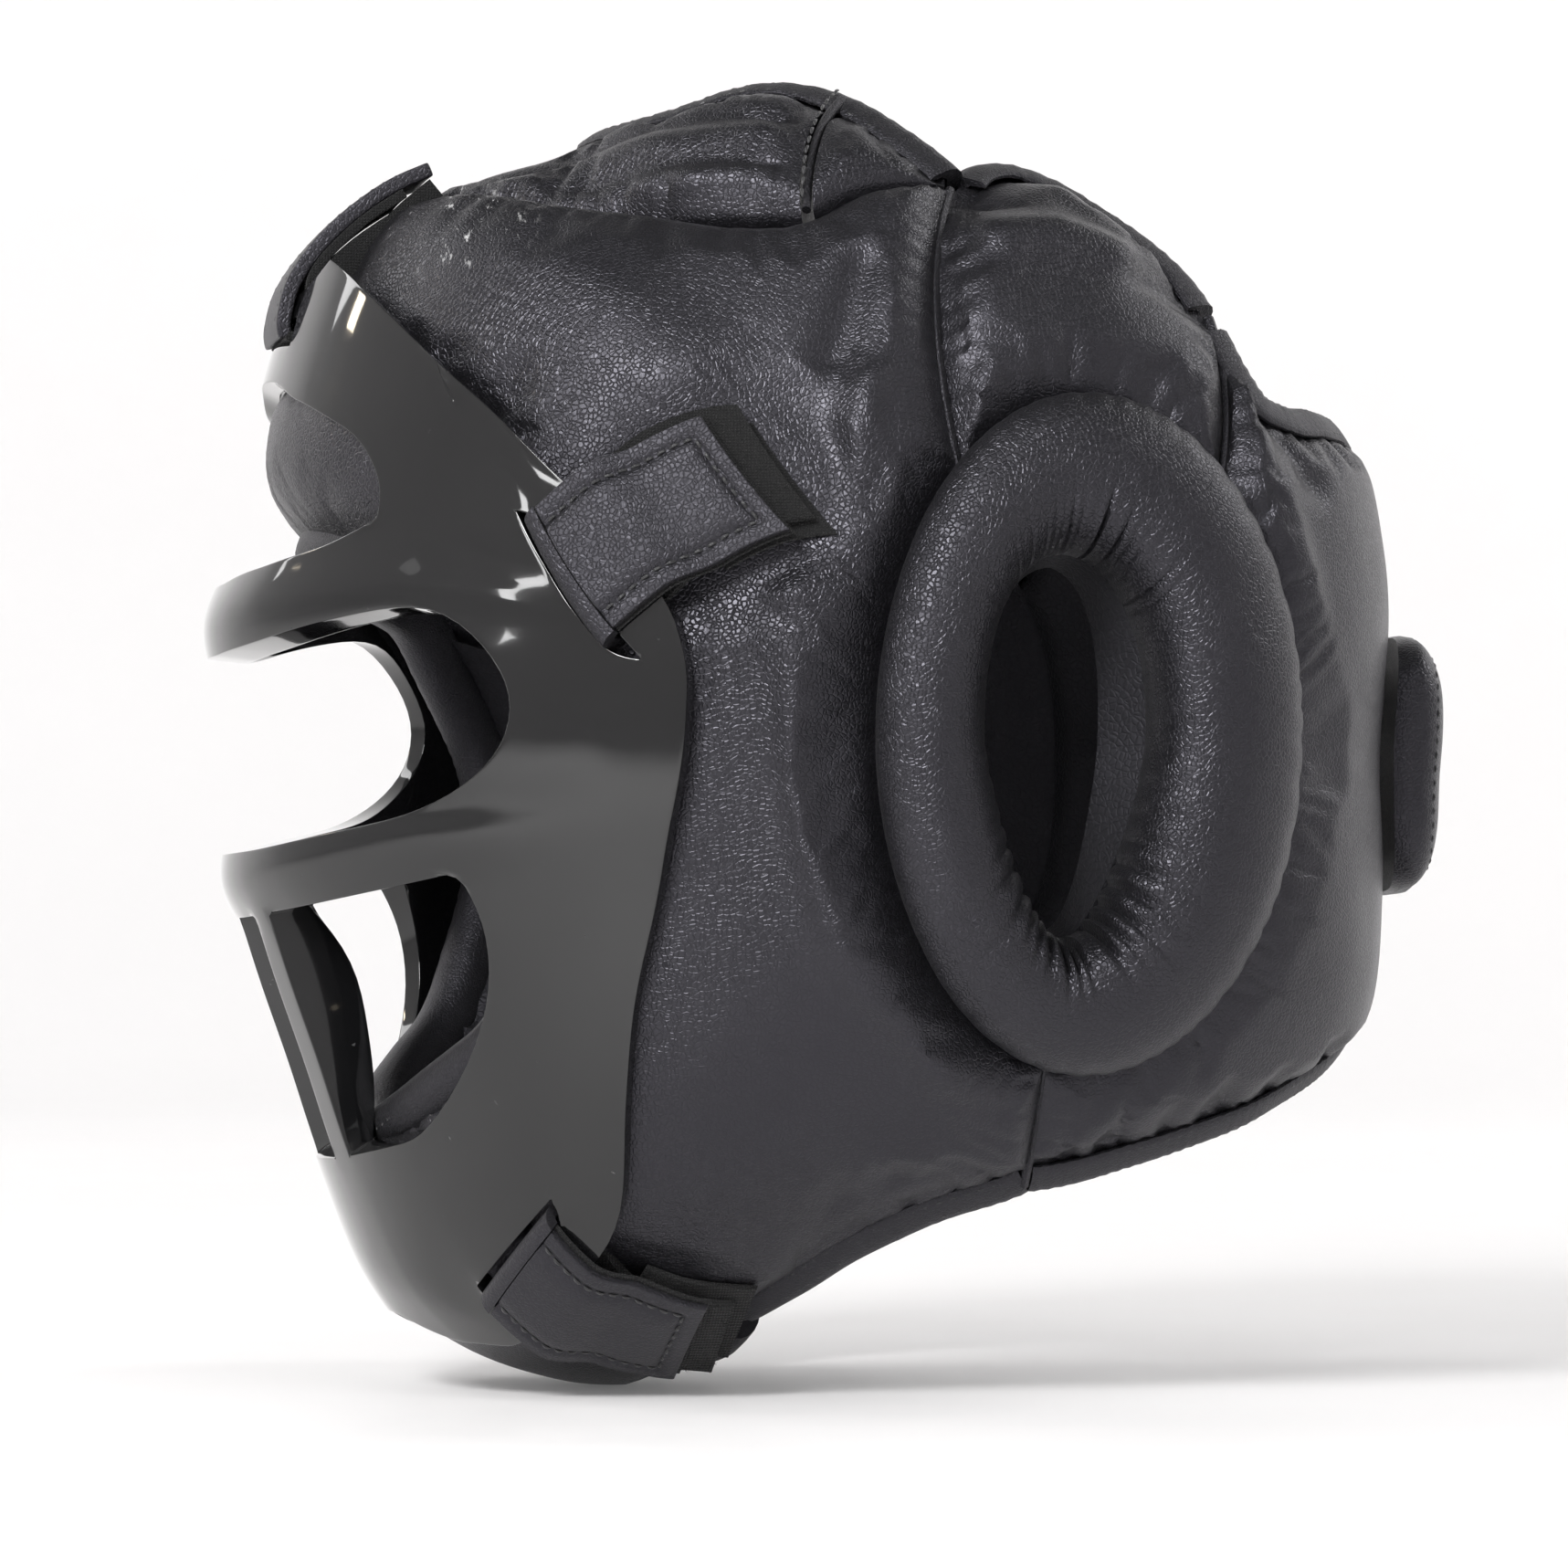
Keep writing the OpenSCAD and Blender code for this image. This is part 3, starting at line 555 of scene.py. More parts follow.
def fabric(name, dark, light, thread, depth, rough, sheen):
    """A coarse matt weave or pile."""
    n = Nodes(name)
    waves = [n.add("TexWave", {"Vector": n.coord, "Scale": thread / 6.3, "Distortion": 2.0,
                               "Detail": 2.0}, bands_direction=way).outputs["Fac"]
             for way in "YZ"]
    weave = n.times(*waves)
    soft = n.noise(80, 4)
    normal = n.bump(soft, 0.3, 0.0015)
    normal = n.bump(n.math("ADD", weave, n.noise(3000, 2)), 0.6, depth, normal)
    color = n.mix(n.ramp(n.math("ADD", n.times(weave, 0.6), soft), 0.4, 1.1),
                  dark, light)
    r = n.ramp(soft, 0.3, 0.7, rough - 0.08, rough + 0.06)
    return n.out(color, r, normal, Sheen_Weight=sheen, Sheen_Roughness=0.4)


def thread_material(name):
    """Twisted sewing thread."""
    n = Nodes(name)
    twist = n.add("TexWave", {"Vector": n.coord, "Scale": 420.0, "Distortion": 3.0},
                  bands_direction="DIAGONAL").outputs["Fac"]
    color = n.mix(n.noise(500, 2), (0.008, 0.008, 0.009), (0.026, 0.026, 0.028))
    return n.out(color, n.ramp(n.noise(900, 2), 0.3, 0.7, 0.4, 0.6),
                 n.bump(twist, 0.7, 0.00012), Sheen_Weight=0.2)


SHELL = leather("shell leather", (0.0056, 0.0054, 0.0066), (0.0092, 0.0089, 0.0105), scuffs=0.8)
BIND = leather("binding leather", (0.0045, 0.0044, 0.005), (0.0075, 0.0073, 0.0082),
               grain=1150, depth=0.00011, rough=(0.42, 0.56))
STRAP = leather("strap leather", (0.0066, 0.0064, 0.0076), (0.0108, 0.0105, 0.012),
                grain=980, depth=0.0001, rough=(0.38, 0.52))
# the lining is dark leather, and its colour is darkened further as painted shade for the inside of
# the ear hole; the liners under the pads share it
LINING_WITH_PAINTED_SHADE = leather("lining", (0.002, 0.002, 0.0023), (0.004, 0.004, 0.0045), grain=700,
                 depth=0.00015, rough=(0.55, 0.7))
FUZZ = fabric("hook and loop", (0.003, 0.003, 0.0033), (0.009, 0.009, 0.0095), thread=3200,
              depth=0.0006, rough=0.95, sheen=0.08)
PLASTIC = plastic("cage plastic")
THREAD = thread_material("thread")

# ------------------------------------------------------------------ seams and rims
CHEEK = [
    (97.4, 38.8, 127.5), (105, 41.4, 131), (113, 43.2, 134), (120, 39.5, 137),
    (125.2, 33, 140), (130, 25.4, 143), (132.8, 16.6, 145), (135.2, 8, 147), (136.4, 0.3, 149),
    (149.2, 0.3, 151), (149.2, 13, 153), (149.2, 26, 156), (149.4, 38.9, 160),
    (155, 38.6, 167), (166, 37, 174), (172, 42.5, 179), (180, 46.5, 184), (188, 47.5, 189),
    (196, 46, 194), (203, 42, 200), (209.4, 35, 207), (222, 31, 215), (234, 27, 224),
    (245.6, 23.2, 232), (248, 29, 239), (251.5, 36, 246), (257, 41, 253), (269.2, 44.8, 261),
]
UPPER_EAR = [
    (96.4, 36.8, 126.5), (93, 31.5, 117), (89, 28, 107), (84.5, 28, 97), (80, 30.5, 86),
    (75, 33, 74), (70, 36, 61), (66.5, 39, 47),
]
REAR = [
    (64.2, 42, 45.5), (60, 45, 40), (55, 46, 34), (50, 42, 28), (46, 34, 22), (42, 22, 16),
    (37, 11, 11), (31, 5, 6), (22, 4, 1), (8, 4, -6), (-6, 4, -13), (-18, 4, -20),
    (-28, 4.5, -27), (-36, 10, -35), (-43, 22, -45), (-51, 31, -56), (-62, 38, -69),
    (-76, 43, -84), (-90, 45, -98.5),
]
CROWN_RIM = [(121, 0), (119.6, 7), (115.5, 12), (110, 15), (106, 19), (104, 22.5)]
CROWN_SEAM = [(135.8, 0), (134.8, 8), (132.3, 16.6), (129.4, 25), (124.4, 32.6), (113.4, 41.8)]
WING_RIM = [(103.2, 23.8), (101, 28), (98.6, 32.5), (97, 35.6)]
WING_SEAM = [(112.2, 42.4), (107, 41), (102, 39.6), (97.6, 38.2)]


def brow_edge(k):
    """The face opening's upper rim, k from -1 to 1 across it."""
    return 163.5 + 2 * k * k, 36.3 * k


def chin_edge(k):
    """The face opening's lower rim, k from -1 to 1 across it."""
    return 213 - 3 * k * k, 34 * k


SIXTHS = [k / 6 for k in range(-6, 7)]
FIFTHS = [k / 5 for k in range(-5, 6)]
BROW_TOP = [(149.9, 38.2 * k) for k in SIXTHS]
BROW_LOW = [brow_edge(k) for k in SIXTHS]
CHIN_TOP = [chin_edge(k) for k in FIFTHS]
CHIN_LOW = [(246.5 - 0.6 * k * k, 22.6 * k) for k in FIFTHS]


def both(half):
    return [(t, -s) for t, s in half[:0:-1]] + list(half)


CLOTH = {
    "quality": 5, "mass": 0.4, "tension_stiffness": 18, "compression_stiffness": 18,
    "shear_stiffness": 12, "bending_stiffness": 0.6, "tension_damping": 15,
    "compression_damping": 15, "shear_damping": 15, "bending_damping": 1,
    "use_pressure": True, "vertex_group_mass": "sewn", "pin_stiffness": 4,
}
CLOTH_FRAMES = 18
SEWN = 2.0  # width of the band at the seams that stays where it is


def crowded(v, share):
    """Values from 0 to 1, moved closer together near both ends."""
    return lerp(v, 0.5 - 0.5 * np.cos(np.pi * v), share)


class Panel:
    """A grid of [t, s] between two edges, with the distance to each of its edges."""

    def __init__(self, near, far, corners=()):
        """near is None where far's third numbers say the angle on the ear ring's seam."""
        far_ts = np.array([p[:2] for p in far], float)
        if near is None:
            near_a = np.array([p[2] for p in far], float)[:, None]
            near_ts = ring_ts(near_a[:, 0], 0.1)
        else:
            near_ts = np.array(near, float)
        ks = stations([head(*near_ts.T), head(*far_ts.T)], STEP)
        edge_a = spline(near_ts, ks, corners)
        if near is None:
            edge_a = ring_ts(spline(near_a, ks)[:, 0], 0.1)
        edge_b = spline(far_ts, ks, corners)
        span = np.linalg.norm(head(*edge_a.T) - head(*edge_b.T), axis=1)
        v = np.linspace(0, 1, max(8, int(np.percentile(span, 85) / STEP)))
        v = crowded(v, 0.45)
        self.set(ks, edge_a[:, None] + (edge_b - edge_a)[:, None] * v[None, :, None])

    def set(self, ks, ts):
        self.ks = ks
        self.ts = ts
        self.t, self.s = ts[..., 0], ts[..., 1]
        self.p = head(self.t, self.s)
        self.moved = 0.0
        self.pressed = np.zeros(self.t.shape)

    def part(self, lo, hi):
        """The panel again, from station lo to station hi."""
        rows = (self.ks >= lo) & (self.ks <= hi)
        piece = Panel.__new__(Panel)
        piece.set(self.ks[rows], self.ts[rows])
        return piece

    def edge(self, name, lo=None, hi=None):
        """The 3-D line of an edge, cut to the station numbers lo to hi."""
        if name in ("start", "end"):
            return self.p[0 if name == "start" else -1]
        line = self.p[:, 0 if name == "near" else -1]
        if lo is not None:
            line = line[(self.ks >= lo) & (self.ks <= hi)]
        return line

    def shape(self, mid, edges, power=2.2, sign=1):
        """edges: (edge, depth there, flat width, width of the rise), with its first and last
        station after the name where only a part is meant. sign is -1 for a lining."""
        fall = np.zeros(self.t.shape)
        self.near = []
        for name, *span, sink, flat, width in edges:
            x, place = dist(self.p, self.edge(name, *span))
            self.near.append((x, place))
            rise = np.clip(1 - np.maximum(0, x - flat) / width, 0, 1) ** power
            fall = np.maximum(fall, sign * (sink - mid) * rise)
        self.depth = mid + sign * fall
        self.gap = np.min([x for x, _ in self.near], 0)
        return self

    def rest(self, seed=0, big=0.45, small=0.12):
        """The unevenness of stuffed leather, none of it at the seams."""
        uneven = big * noise3(self.p, 34, seed) + small * noise3(self.p, 12, seed + 1)
        self.depth = self.depth - smooth(self.gap / 12) * uneven
        return self

    def fold(self, line, height, width, start=8, end=8):
        """Raises a long soft fold along a line of [t, s]."""
        pts = np.array(line, float)
        k = np.linspace(0, len(pts) - 1, len(pts) * 8)
        path = head(*spline(pts, k).T)
        x, place = dist(self.p, path)
        ends = smooth(place / start) * smooth((along(path)[-1] - place) / end)
        self.depth = self.depth - height * bump(x, width) * ends

    def gathers(self, *rows):
        """Short creases that run away from an edge, irregular in place and length. Each row
        is the edge's number in shape's list, height, pitch, length and seed."""
        for index, height, pitch, width, seed in rows:
            x, place = self.near[index]
            phase = place / pitch + 0.9 * noise1(place / (2.1 * pitch), seed)
            length = width * (0.45 + 0.8 * chance(phase, 1.37, seed + 3))
            power = 0.35 + 0.65 * chance(phase, 2.11, seed + 5)
            self.depth = self.depth + (height * creases(phase, 0.16) * power * bump(x, length)
                                       * smooth(x / 1.2))

    def press(self, strap, depth=0.5):
        """Flattens the pad where a strap's loop patch is sewn on."""
        c = np.array(strap, float)
        root, end = (c[0] + c[1]) / 2, (c[2] + c[3]) / 2
        x = np.linspace(EDGE_STRIP + 20, LEG, 8)[:, None] / LEG
        away, _ = dist(self.p, head(*(root + (end - root) * x).T))
        self.pressed = np.maximum(self.pressed, smooth((25 - away) / 11))
        self.depth = lerp(self.depth, np.maximum(self.depth, depth), self.pressed)
        return self

    def surface(self):
        return head(self.t, self.s, self.depth) + self.moved

    def settle(self, pressure, grow, cap):
        """Lets the leather settle as cloth over its filling, sewn down at its edges. No
        point moves further than cap."""
        top = self.surface()
        faces = outward(grid_faces(*top.shape[:2]), top, head(self.t, self.s, 20))
        # the cloth settings suit a sheet ten times as large
        mesh = smooth_mesh("settling", top.reshape(-1, 3) * MM, faces, 10)
        sheet = linked("settling", mesh)
        scene = bpy.context.scene
        pin = sheet.vertex_groups.new(name="sewn")
        gap = self.gap.reshape(-1)
        held = np.maximum(1 - smooth((gap - SEWN) / 4), self.pressed.reshape(-1))
        for i in np.nonzero(held > 0)[0]:
            pin.add([int(i)], float(held[i]), "REPLACE")
        cloth = sheet.modifiers.new("cloth", "CLOTH")
        for key, value in CLOTH.items():
            setattr(cloth.settings, key, value)
        cloth.settings.uniform_pressure_force = pressure
        cloth.settings.shrink_min = -grow
        cloth.settings.effector_weights.gravity = 0
        cloth.collision_settings.use_collision = False
        cloth.collision_settings.use_self_collision = False
        cloth.point_cache.frame_end = CLOTH_FRAMES + 1
        for frame_no in range(1, CLOTH_FRAMES + 1):
            scene.frame_set(frame_no)
        done = sheet.evaluated_get(bpy.context.evaluated_depsgraph_get()).data
        at = np.empty(len(mesh.vertices) * 3)
        done.vertices.foreach_get("co", at)
        move = at.reshape(top.shape) / (MM * 10) - top
        far = np.linalg.norm(move, axis=-1, keepdims=True)
        move = np.where(np.isfinite(move), move, 0) * np.minimum(1, cap / np.maximum(far, 1e-6))
        loose = (1 - smooth((SEWN - self.gap) / SEWN)) * (1 - self.pressed)
        self.moved = self.moved + move * loose[..., None]
        scene.frame_set(1)
        bpy.data.objects.remove(sheet)
        bpy.data.meshes.remove(mesh)
        return self

    def floor(self, mid, rim, edges=()):
        """Depths of the underside: mid inside and rim near the named edges."""
        d = np.full(self.t.shape, float(mid))
        for edge in edges:
            x, _ = dist(self.p, self.edge(*edge))
            d = np.minimum(d, lerp(rim, mid, smooth(x / 14)))
        self.low = d
        return self

    def solid(self):
        return closed(self.surface(), head(self.t, self.s, self.low))


def pieces_lr(name, solid, slot, material, fill):
    """The piece on the wearer's left and its mirror image on the right."""
    for hand, one in (("left", solid), ("right", mirror_of(*solid))):
        make(f"{name}_{hand}_form", one, "shell", material, f"{name}_{hand}")


def piece_mid(name, solid, slot, material, fill):
    """The piece on the centre plane."""
    make(f"{name}_form", solid, "shell", material, name)


threads = []  # stitched threads of the shell, as (vertices, faces)


def sew(line_ts, depth, pitch, **more):
    """A row of stitches along a line of [t, s] at a depth, and its mirror image."""
    line = np.asarray(line_ts).T
    p = head(*line, depth)
    up = head(*line, depth - 1.0) - p
    for sx in (1, -1):
        k = np.array([sx, 1, 1])
        threads.append(stitches(p * k, up * k, pitch, seed=len(threads) + 5, **more))


# each strap's corners as (t, s): two at the cage's slot, then two at the free end
UPPER_STRAP = ((157.6, 48.6), (168.4, 56.8), (138.6, 58.6), (144, 68.4))
LOWER_STRAP = ((226.9, 24.1), (225, 36.4), (243, 19.5), (241, 33.6))
STRAP_WIDTH = 30
EDGE_STRIP = 13  # from the slot to the cage's edge
RIDE = 1.2  # thickness of the loop patch
LEG = 42  # length of a tab
REACH = 9.5  # the patch runs this far past the tab
THICK = 2.2
GAP = 0.4


# ------------------------------------------------------------------ the shell's pads
cheek = Panel(None, CHEEK, corners=(8, 9, 12, 23))
cheek.shape(-0.6, [
    ("near", 6.4, 0, 13), ("start", 4.4, 0, 8),
    ("end", 3.0, 0, 6), ("far", 0, 8, 3.4, 0, 7), ("far", 8, 9, 4.0, 0, 12),
    ("far", 9, 14, 3.5, 0, 8), ("far", 14, 20, 5.0, 3, 10), ("far", 20, 23, 4.0, 0, 8),
    ("far", 23, 27, 5.2, 3.5, 11)]).rest(1)
cheek.gathers((0, 0.5, 9, 7, 2), (3, 0.8, 8, 8, 3), (1, 0.8, 5, 7, 4), (2, 0.8, 6, 9, 5))
cheek.fold([(113, 60), (128, 67), (150, 69.5), (172, 70), (201, 69.5), (221, 69), (243, 64.5),
             (262, 55)], 3.2, 5.5, start=14, end=18)
cheek.fold([(108, 49), (116, 56), (124, 61)], -1.8, 4.5)
cheek.press(UPPER_STRAP).press(LOWER_STRAP)
cheek.settle(1.5, 0.015, 1.5)
cheek.floor(LAYER - 0.4, 9, [("far", 14, 20), ("far", 23, 27)])
pieces_lr("cheek_pad", cheek.solid(), "shell_leather", SHELL, 0.75)

upper = Panel(None, UPPER_EAR)
upper.shape(-0.6, [
    ("near", 6.0, 0, 10), ("start", 5.5, 0, 9),
    ("end", 5.5, 0, 9), ("far", 0, 7, 6.6, 4, 30)], 1.6).rest(7, 0.5, 0.1)
upper.gathers((0, 0.9, 7, 9, 12), (1, 1.1, 6, 12, 13), (2, 0.9, 6, 9, 14), (3, 0.8, 9, 12, 15))
upper.fold([(75, 45), (82, 45), (90, 46), (98, 49)], 3.2, 6.5)
upper.fold([(72, 42), (80, 37), (88, 33.5)], 2.4, 5)
upper.fold([(100, 43), (104, 50), (107, 56)], 2.2, 5)
upper.settle(2.0, 0.05, 2.2)
upper.floor(PAD, 14, [("far", 0, 7)])
pieces_lr("upper_ear_pad", upper.solid(), "shell_leather", SHELL, 0.8)

rear = Panel(None, REAR)
rear.shape(1.6, [
    ("near", 6.0, 0, 11), ("start", 5.5, 0, 9),
    ("end", 3.0, 0, 6), ("far", 0, 18, 5.0, 4, 10)]).rest(21, 0.6, 0.15)
rear.gathers((0, 0.6, 8, 8, 22), (1, 1.0, 6, 10, 23), (2, 0.7, 6, 9, 24))
rear.fold([(62, 46), (54, 53), (44, 58), (30, 58), (14, 56), (0, 54)], 3.0, 7, start=12, end=40)
rear.fold([(58, 49), (47, 50), (37, 45)], -2.2, 4.5)
rear.settle(1.5, 0.035, 2.0)
rear.floor(LAYER - 0.4, 9, [("far", 0, 18)])
pieces_lr("rear_pad", rear.solid(), "shell_leather", SHELL, 0.75)

crown = Panel(both(CROWN_RIM), both(CROWN_SEAM))
crown.shape(0.2, [
    ("near", 4.6, 4, 22), ("far", 5.0, 0, 8),
    ("start", 1.1, 0, 4), ("end", 1.1, 0, 4)]).rest(31, 0.8, 0.25)
crown.depth += 4.6 * smooth((crown.t - 119) / 8) * (1 - 0.45 * smooth((crown.t - 131) / 5))
slant = np.abs(crown.s) + 0.9 * (crown.t - 120) + 1.6 * noise3(crown.p, 40, 34)
crease = np.abs(np.mod(slant / 9.5, 1) - 0.5) * 2
crown.depth += ((2.6 * (crease**1.6 - 0.4) + 0.2 * noise3(crown.p, 13, 35))
                * smooth(crown.gap / 10) * smooth((np.abs(crown.s) - 3) / 8))
crown.gathers((1, 0.5, 9, 12, 32), (0, 1.0, 11, 13, 33))
crown.settle(1.5, 0.05, 1.6)
crown.floor(PAD - 3, 14, [("near",)])
piece_mid("crown_front_pad", crown.solid(), "shell_leather", SHELL, 0.7)

wing = Panel(WING_RIM, WING_SEAM)
wing.shape(0.2, [
    ("near", 4.6, 4, 18), ("far", 3.4, 0, 7),
    ("start", 1.1, 0, 4), ("end", 4.0, 0, 7)]).rest(41, 0.5, 0.2)
wing.gathers((3, 0.7, 5, 8, 42))
wing.settle(1.5, 0.04, 1.2)
wing.floor(PAD - 4, 14, [("near",)])
pieces_lr("crown_wing", wing.solid(), "shell_leather", SHELL, 0.7)

brow = Panel(BROW_TOP, BROW_LOW)
brow.shape(-4.6, [
    ("near", 4.0, 0, 12), ("far", 5.0, 3, 12),
    ("start", 2.0, 0, 9), ("end", 2.0, 0, 9)]).rest(51, 0.4, 0.05)
brow.settle(1.5, 0.01, 1.0)
brow.floor(LAYER - 0.4, 9, [("far",)])
piece_mid("brow_pad", brow.solid(), "shell_leather", SHELL, 0.85)

chin = Panel(CHIN_TOP, CHIN_LOW)
chin.shape(0.2, [
    ("near", 5.0, 3, 10), ("far", 5.0, 3.5, 10),
    ("start", 4.0, 0, 8), ("end", 4.0, 0, 8)]).rest(61, 0.5, 0.2)
chin.gathers((0, 0.7, 8, 9, 62), (1, 0.7, 8, 9, 63))
chin.settle(2.0, 0.03, 1.5)
chin.floor(PAD - 2, 14, [("near",), ("far",)])
piece_mid("chin_pad", chin.solid(), "shell_leather", SHELL, 0.7)


# ------------------------------------------------------------------ liners
def liner(panel, first, last, rims, name, seed, place=pieces_lr):
    """The lining under a panel: padded toward the head, with its own sewn edges."""
    part = panel.part(first, last)
    part.shape(PAD + 0.6, [
        ("near", PAD - 2.5, 0, 9), ("start", PAD - 3.5, 0, 9), ("end", PAD - 3.5, 0, 9),
        ("far", PAD - 3.5, 0, 9)] + [("far", *rim, 14.0, 3.5, 14) for rim in rims], 2.0, -1)
    uneven = 0.5 * noise3(part.p, 30, seed) + 0.2 * noise3(part.p, 11, seed + 1)
    low = part.depth + smooth(part.gap / 10) * uneven
    part.floor(LAYER, 9.6, [("far", *rim) for rim in rims])
    solid = closed(head(part.t, part.s, part.low), head(part.t, part.s, low))
    place(name, solid, "lining", LINING_WITH_PAINTED_SHADE, 0.6)


liner(cheek, 0, 13, [], "temple_liner", 71)
liner(cheek, 14, 27, [(14, 20), (23, 27)], "cheek_liner", 74)
liner(rear, 0, 18, [(0, 18)], "rear_liner", 77)
liner(brow, 0, 12, [(0, 12)], "forehead_liner", 80, piece_mid)


# ------------------------------------------------------------------ ears
def ring_line(a, k, depth, inner=0.0):
    """Points of the ear ring at ring angle a, k of the way from its seam to the hole."""
    t, s = np.moveaxis(ring_ts(a, -0.1), -1, 0)
    r = (reach(t) - depth) * np.cos(np.radians(s)) ** (2 / fullness(t))
    t, a_turn = np.radians(t), np.radians(a)
    # the hole comes to a point at its lower end
    pointed = 1 + np.where(a > 180, 0.36, 0.12) * np.sin(a_turn)
    hole_y = HOLE_BACK + (HOLE_Y + inner) * np.cos(a_turn) * pointed
    hole_z = (HOLE_Z + inner) * np.sin(a_turn) - 2.5
    return side(lerp(r * np.cos(t), hole_y, k), lerp(r * np.sin(t), hole_z, k), depth)


RING_SECTION = [  # share of the way to the hole, depth
    (0, 6.4), (-0.03, 3.6), (-0.05, 0.6), (-0.035, -2.6), (0.03, -5.6), (0.14, -8.0),
    (0.29, -9.6), (0.46, -10.1), (0.62, -9.1), (0.76, -6.9), (0.87, -3.4), (0.95, 1.2),
    (0.99, 6), (1, 11),
]


def ear_ring():
    a = np.arange(300)
    a = a * 360 / len(a)
    rows = np.linspace(0, len(RING_SECTION) - 1, 46)
    section = spline(np.array(RING_SECTION, float) * [30, 1], rows) / [30, 1]
    A, K = np.broadcast_arrays(a[:, None], section[None, :, 0])
    D = np.broadcast_to(section[None, :, 1], A.shape).copy()

    def around(angle, width):
        return bump(np.mod(A - angle + 180, 360) - 180, width)

    D -= 0.5 * noise3(ring_line(A, K, 0), 26, 91) * smooth(K / 0.2) * smooth((1 - K) / 0.1)
    # deep pleats under the hole, where the leather is gathered to its point
    low = around(268, 52)
    phase = A / 8.6 + 0.8 * noise1(A / 15, 92)
    strong = 0.4 + 0.6 * chance(phase, 1.7, 93)
    length = 0.2 + 0.3 * chance(phase, 2.3, 94)
    deep = low * strong * creases(phase, 0.2) * bump(1 - K, length)
    swell = np.sin(2 * np.pi * phase)
    D += 2.6 * deep * smooth((1.02 - K) / 0.04)
    D -= low * bump(K - 0.8, 0.12) * (0.4 + 0.6 * swell)
    # on the steep wall of the hole a pleat draws the leather back from the hole
    K = K - smooth((K - 0.6) / 0.25) * (0.1 * deep + 0.016 * low * swell)
    # fine radial creases over the hole
    phase = A / 4.6 + 0.9 * noise1(A / 11, 95)
    thin = creases(phase, 0.13)
    high = around(86, 46)
    strong = chance(phase, 1.9, 96) ** 1.5
    D += high * strong * 1.5 * thin * bump(K - 0.82, 0.2)
    K = K - 0.045 * high * strong * thin * smooth((K - 0.7) / 0.2)
    # the seam's own small puckers
    phase = A / 7.0 + 0.8 * noise1(A / 17, 97)
    D += 0.5 * creases(phase, 0.2) * bump(K, 0.12)
    under = ring_line(A, np.clip(K, 0, 0.985), np.full(A.shape, 11.3))
    return closed(ring_line(A, K, D), under, loop=True)


pieces_lr("ear_ring", ear_ring(), "shell_leather", SHELL, 0.9)


def ear_base():
    a = np.arange(200)
    a = a * 360 / len(a)
    A, K = np.broadcast_arrays(a[:, None], np.linspace(0, 1, 20)[None])
    # the hole narrows toward the head, most of all at its rear
    squeeze = -2 - 6 * np.clip(np.cos(np.radians(A)), 0, 1)
    top = ring_line(A, K, np.full(A.shape, 11.5), 0.3)
    deep = PAD - 3.5 * (bump(K, 0.25) + bump(K - 1, 0.2)) + 0.3 * noise3(top, 20, 98)
    return closed(top, ring_line(A, K, deep, squeeze), loop=True)


# the ear base wears the lining, whose dark colour is partly painted shade inside the hole
pieces_lr("ear_base", ear_base(), "lining", LINING_WITH_PAINTED_SHADE, 0.5)


# ------------------------------------------------------------------ bound rims
def dense(points, count=10):
    """A smooth line of [t, s] through the points."""
    pts = np.array(points, float)
    return spline(pts, np.linspace(0, len(pts) - 1, len(pts) * count))


BIND_SECTION = [
    (-4.8, 4.6), (-4.8, 5.2), (-4.2, 5.7), (-2.6, 5.9), (-1, 6.0), (0.8, 5.9), (2.6, 5.2),
    (4, 3.7), (4.8, 1.9), (5, 0), (4.8, -1.9), (4, -3.7), (2.6, -5.2), (0.8, -5.9),
    (-1, -6), (-2.6, -5.9), (-4.2, -5.7), (-4.8, -5.2), (-4.8, -4.6), (-1.5, -4.4), (0.2, -3),
    (0.6, 0), (0.2, 3), (-1.5, 4.4),
]


def binding(rim, turn, loop=False, seed=0, lift=0.0):
    """A folded strip over a rim of [t, s], and its two rows of stitches."""
    ts = even(dense(rim + rim[:1], 14)[:-1], 0.9, True) if loop else even(dense(rim, 14), 0.9)
    top, low = head(*ts.T, 5), head(*ts.T, 14)
    ups = unit(top - low)
    line = (top + low) / 2 + ups * lift
    place = along(line)
    section = np.array(BIND_SECTION)
    sec = np.broadcast_to(section, (len(line), *section.shape)).copy()
    sec[..., 0] *= turn
    # puckers between the stitches, and slow changes of width
    wave = (0.16 * np.sin(2 * np.pi * place / 3.0) + 0.35 * noise1(place / 19, seed))[:, None]
    sec[..., 1] += np.where(np.abs(section[:, 1]) > 4.5, np.sign(section[:, 1]) * wave * 0.8, 0)
    sec[..., 0] += turn * 0.35 * noise1(place / 14, seed + 1)[:, None]
    v, f = sweep(line, ups, sec, loop)
    if turn < 0:
        f = [q[::-1] for q in f]
    away = unit(np.cross(np.gradient(line, axis=0), ups)) * turn
    rows = [stitches(line + away * a + ups * u, ups + away * lean, 3.0, 2.2, 0.32, 0.02,
                     seed=seed + i, loop=loop)
            for i, (a, u, lean) in enumerate([(-3.5, 5.6, -0.15), (0.9, 5.62, 0.3)])]
    return (v, f), rows


def rim_piece(name, rim, turn, place=pieces_lr, **more):
    solid, rows = binding(rim, turn, **more)
    place(name, solid, "binding_leather", BIND, 0)
    for row in rows:
        threads.append(row)
        if place == pieces_lr:
            threads.append(mirror_of(*row))


def seam_cord(line_ts, depth, radius, loop=False):
    """A thin rolled cord that closes a seam from below, and its mirror image."""
    ts = even(line_ts, 1.2, loop)
    line = head(*ts.T, depth)
    ups = head(*ts.T, depth - 1) - line
    section = [(radius * math.cos(q), 1.2 * radius * math.sin(q))
               for q in np.linspace(0, 2 * math.pi, 8, endpoint=False)]
    solid = sweep(line, ups, section, loop)
    cords.extend((solid, mirror_of(*solid)))


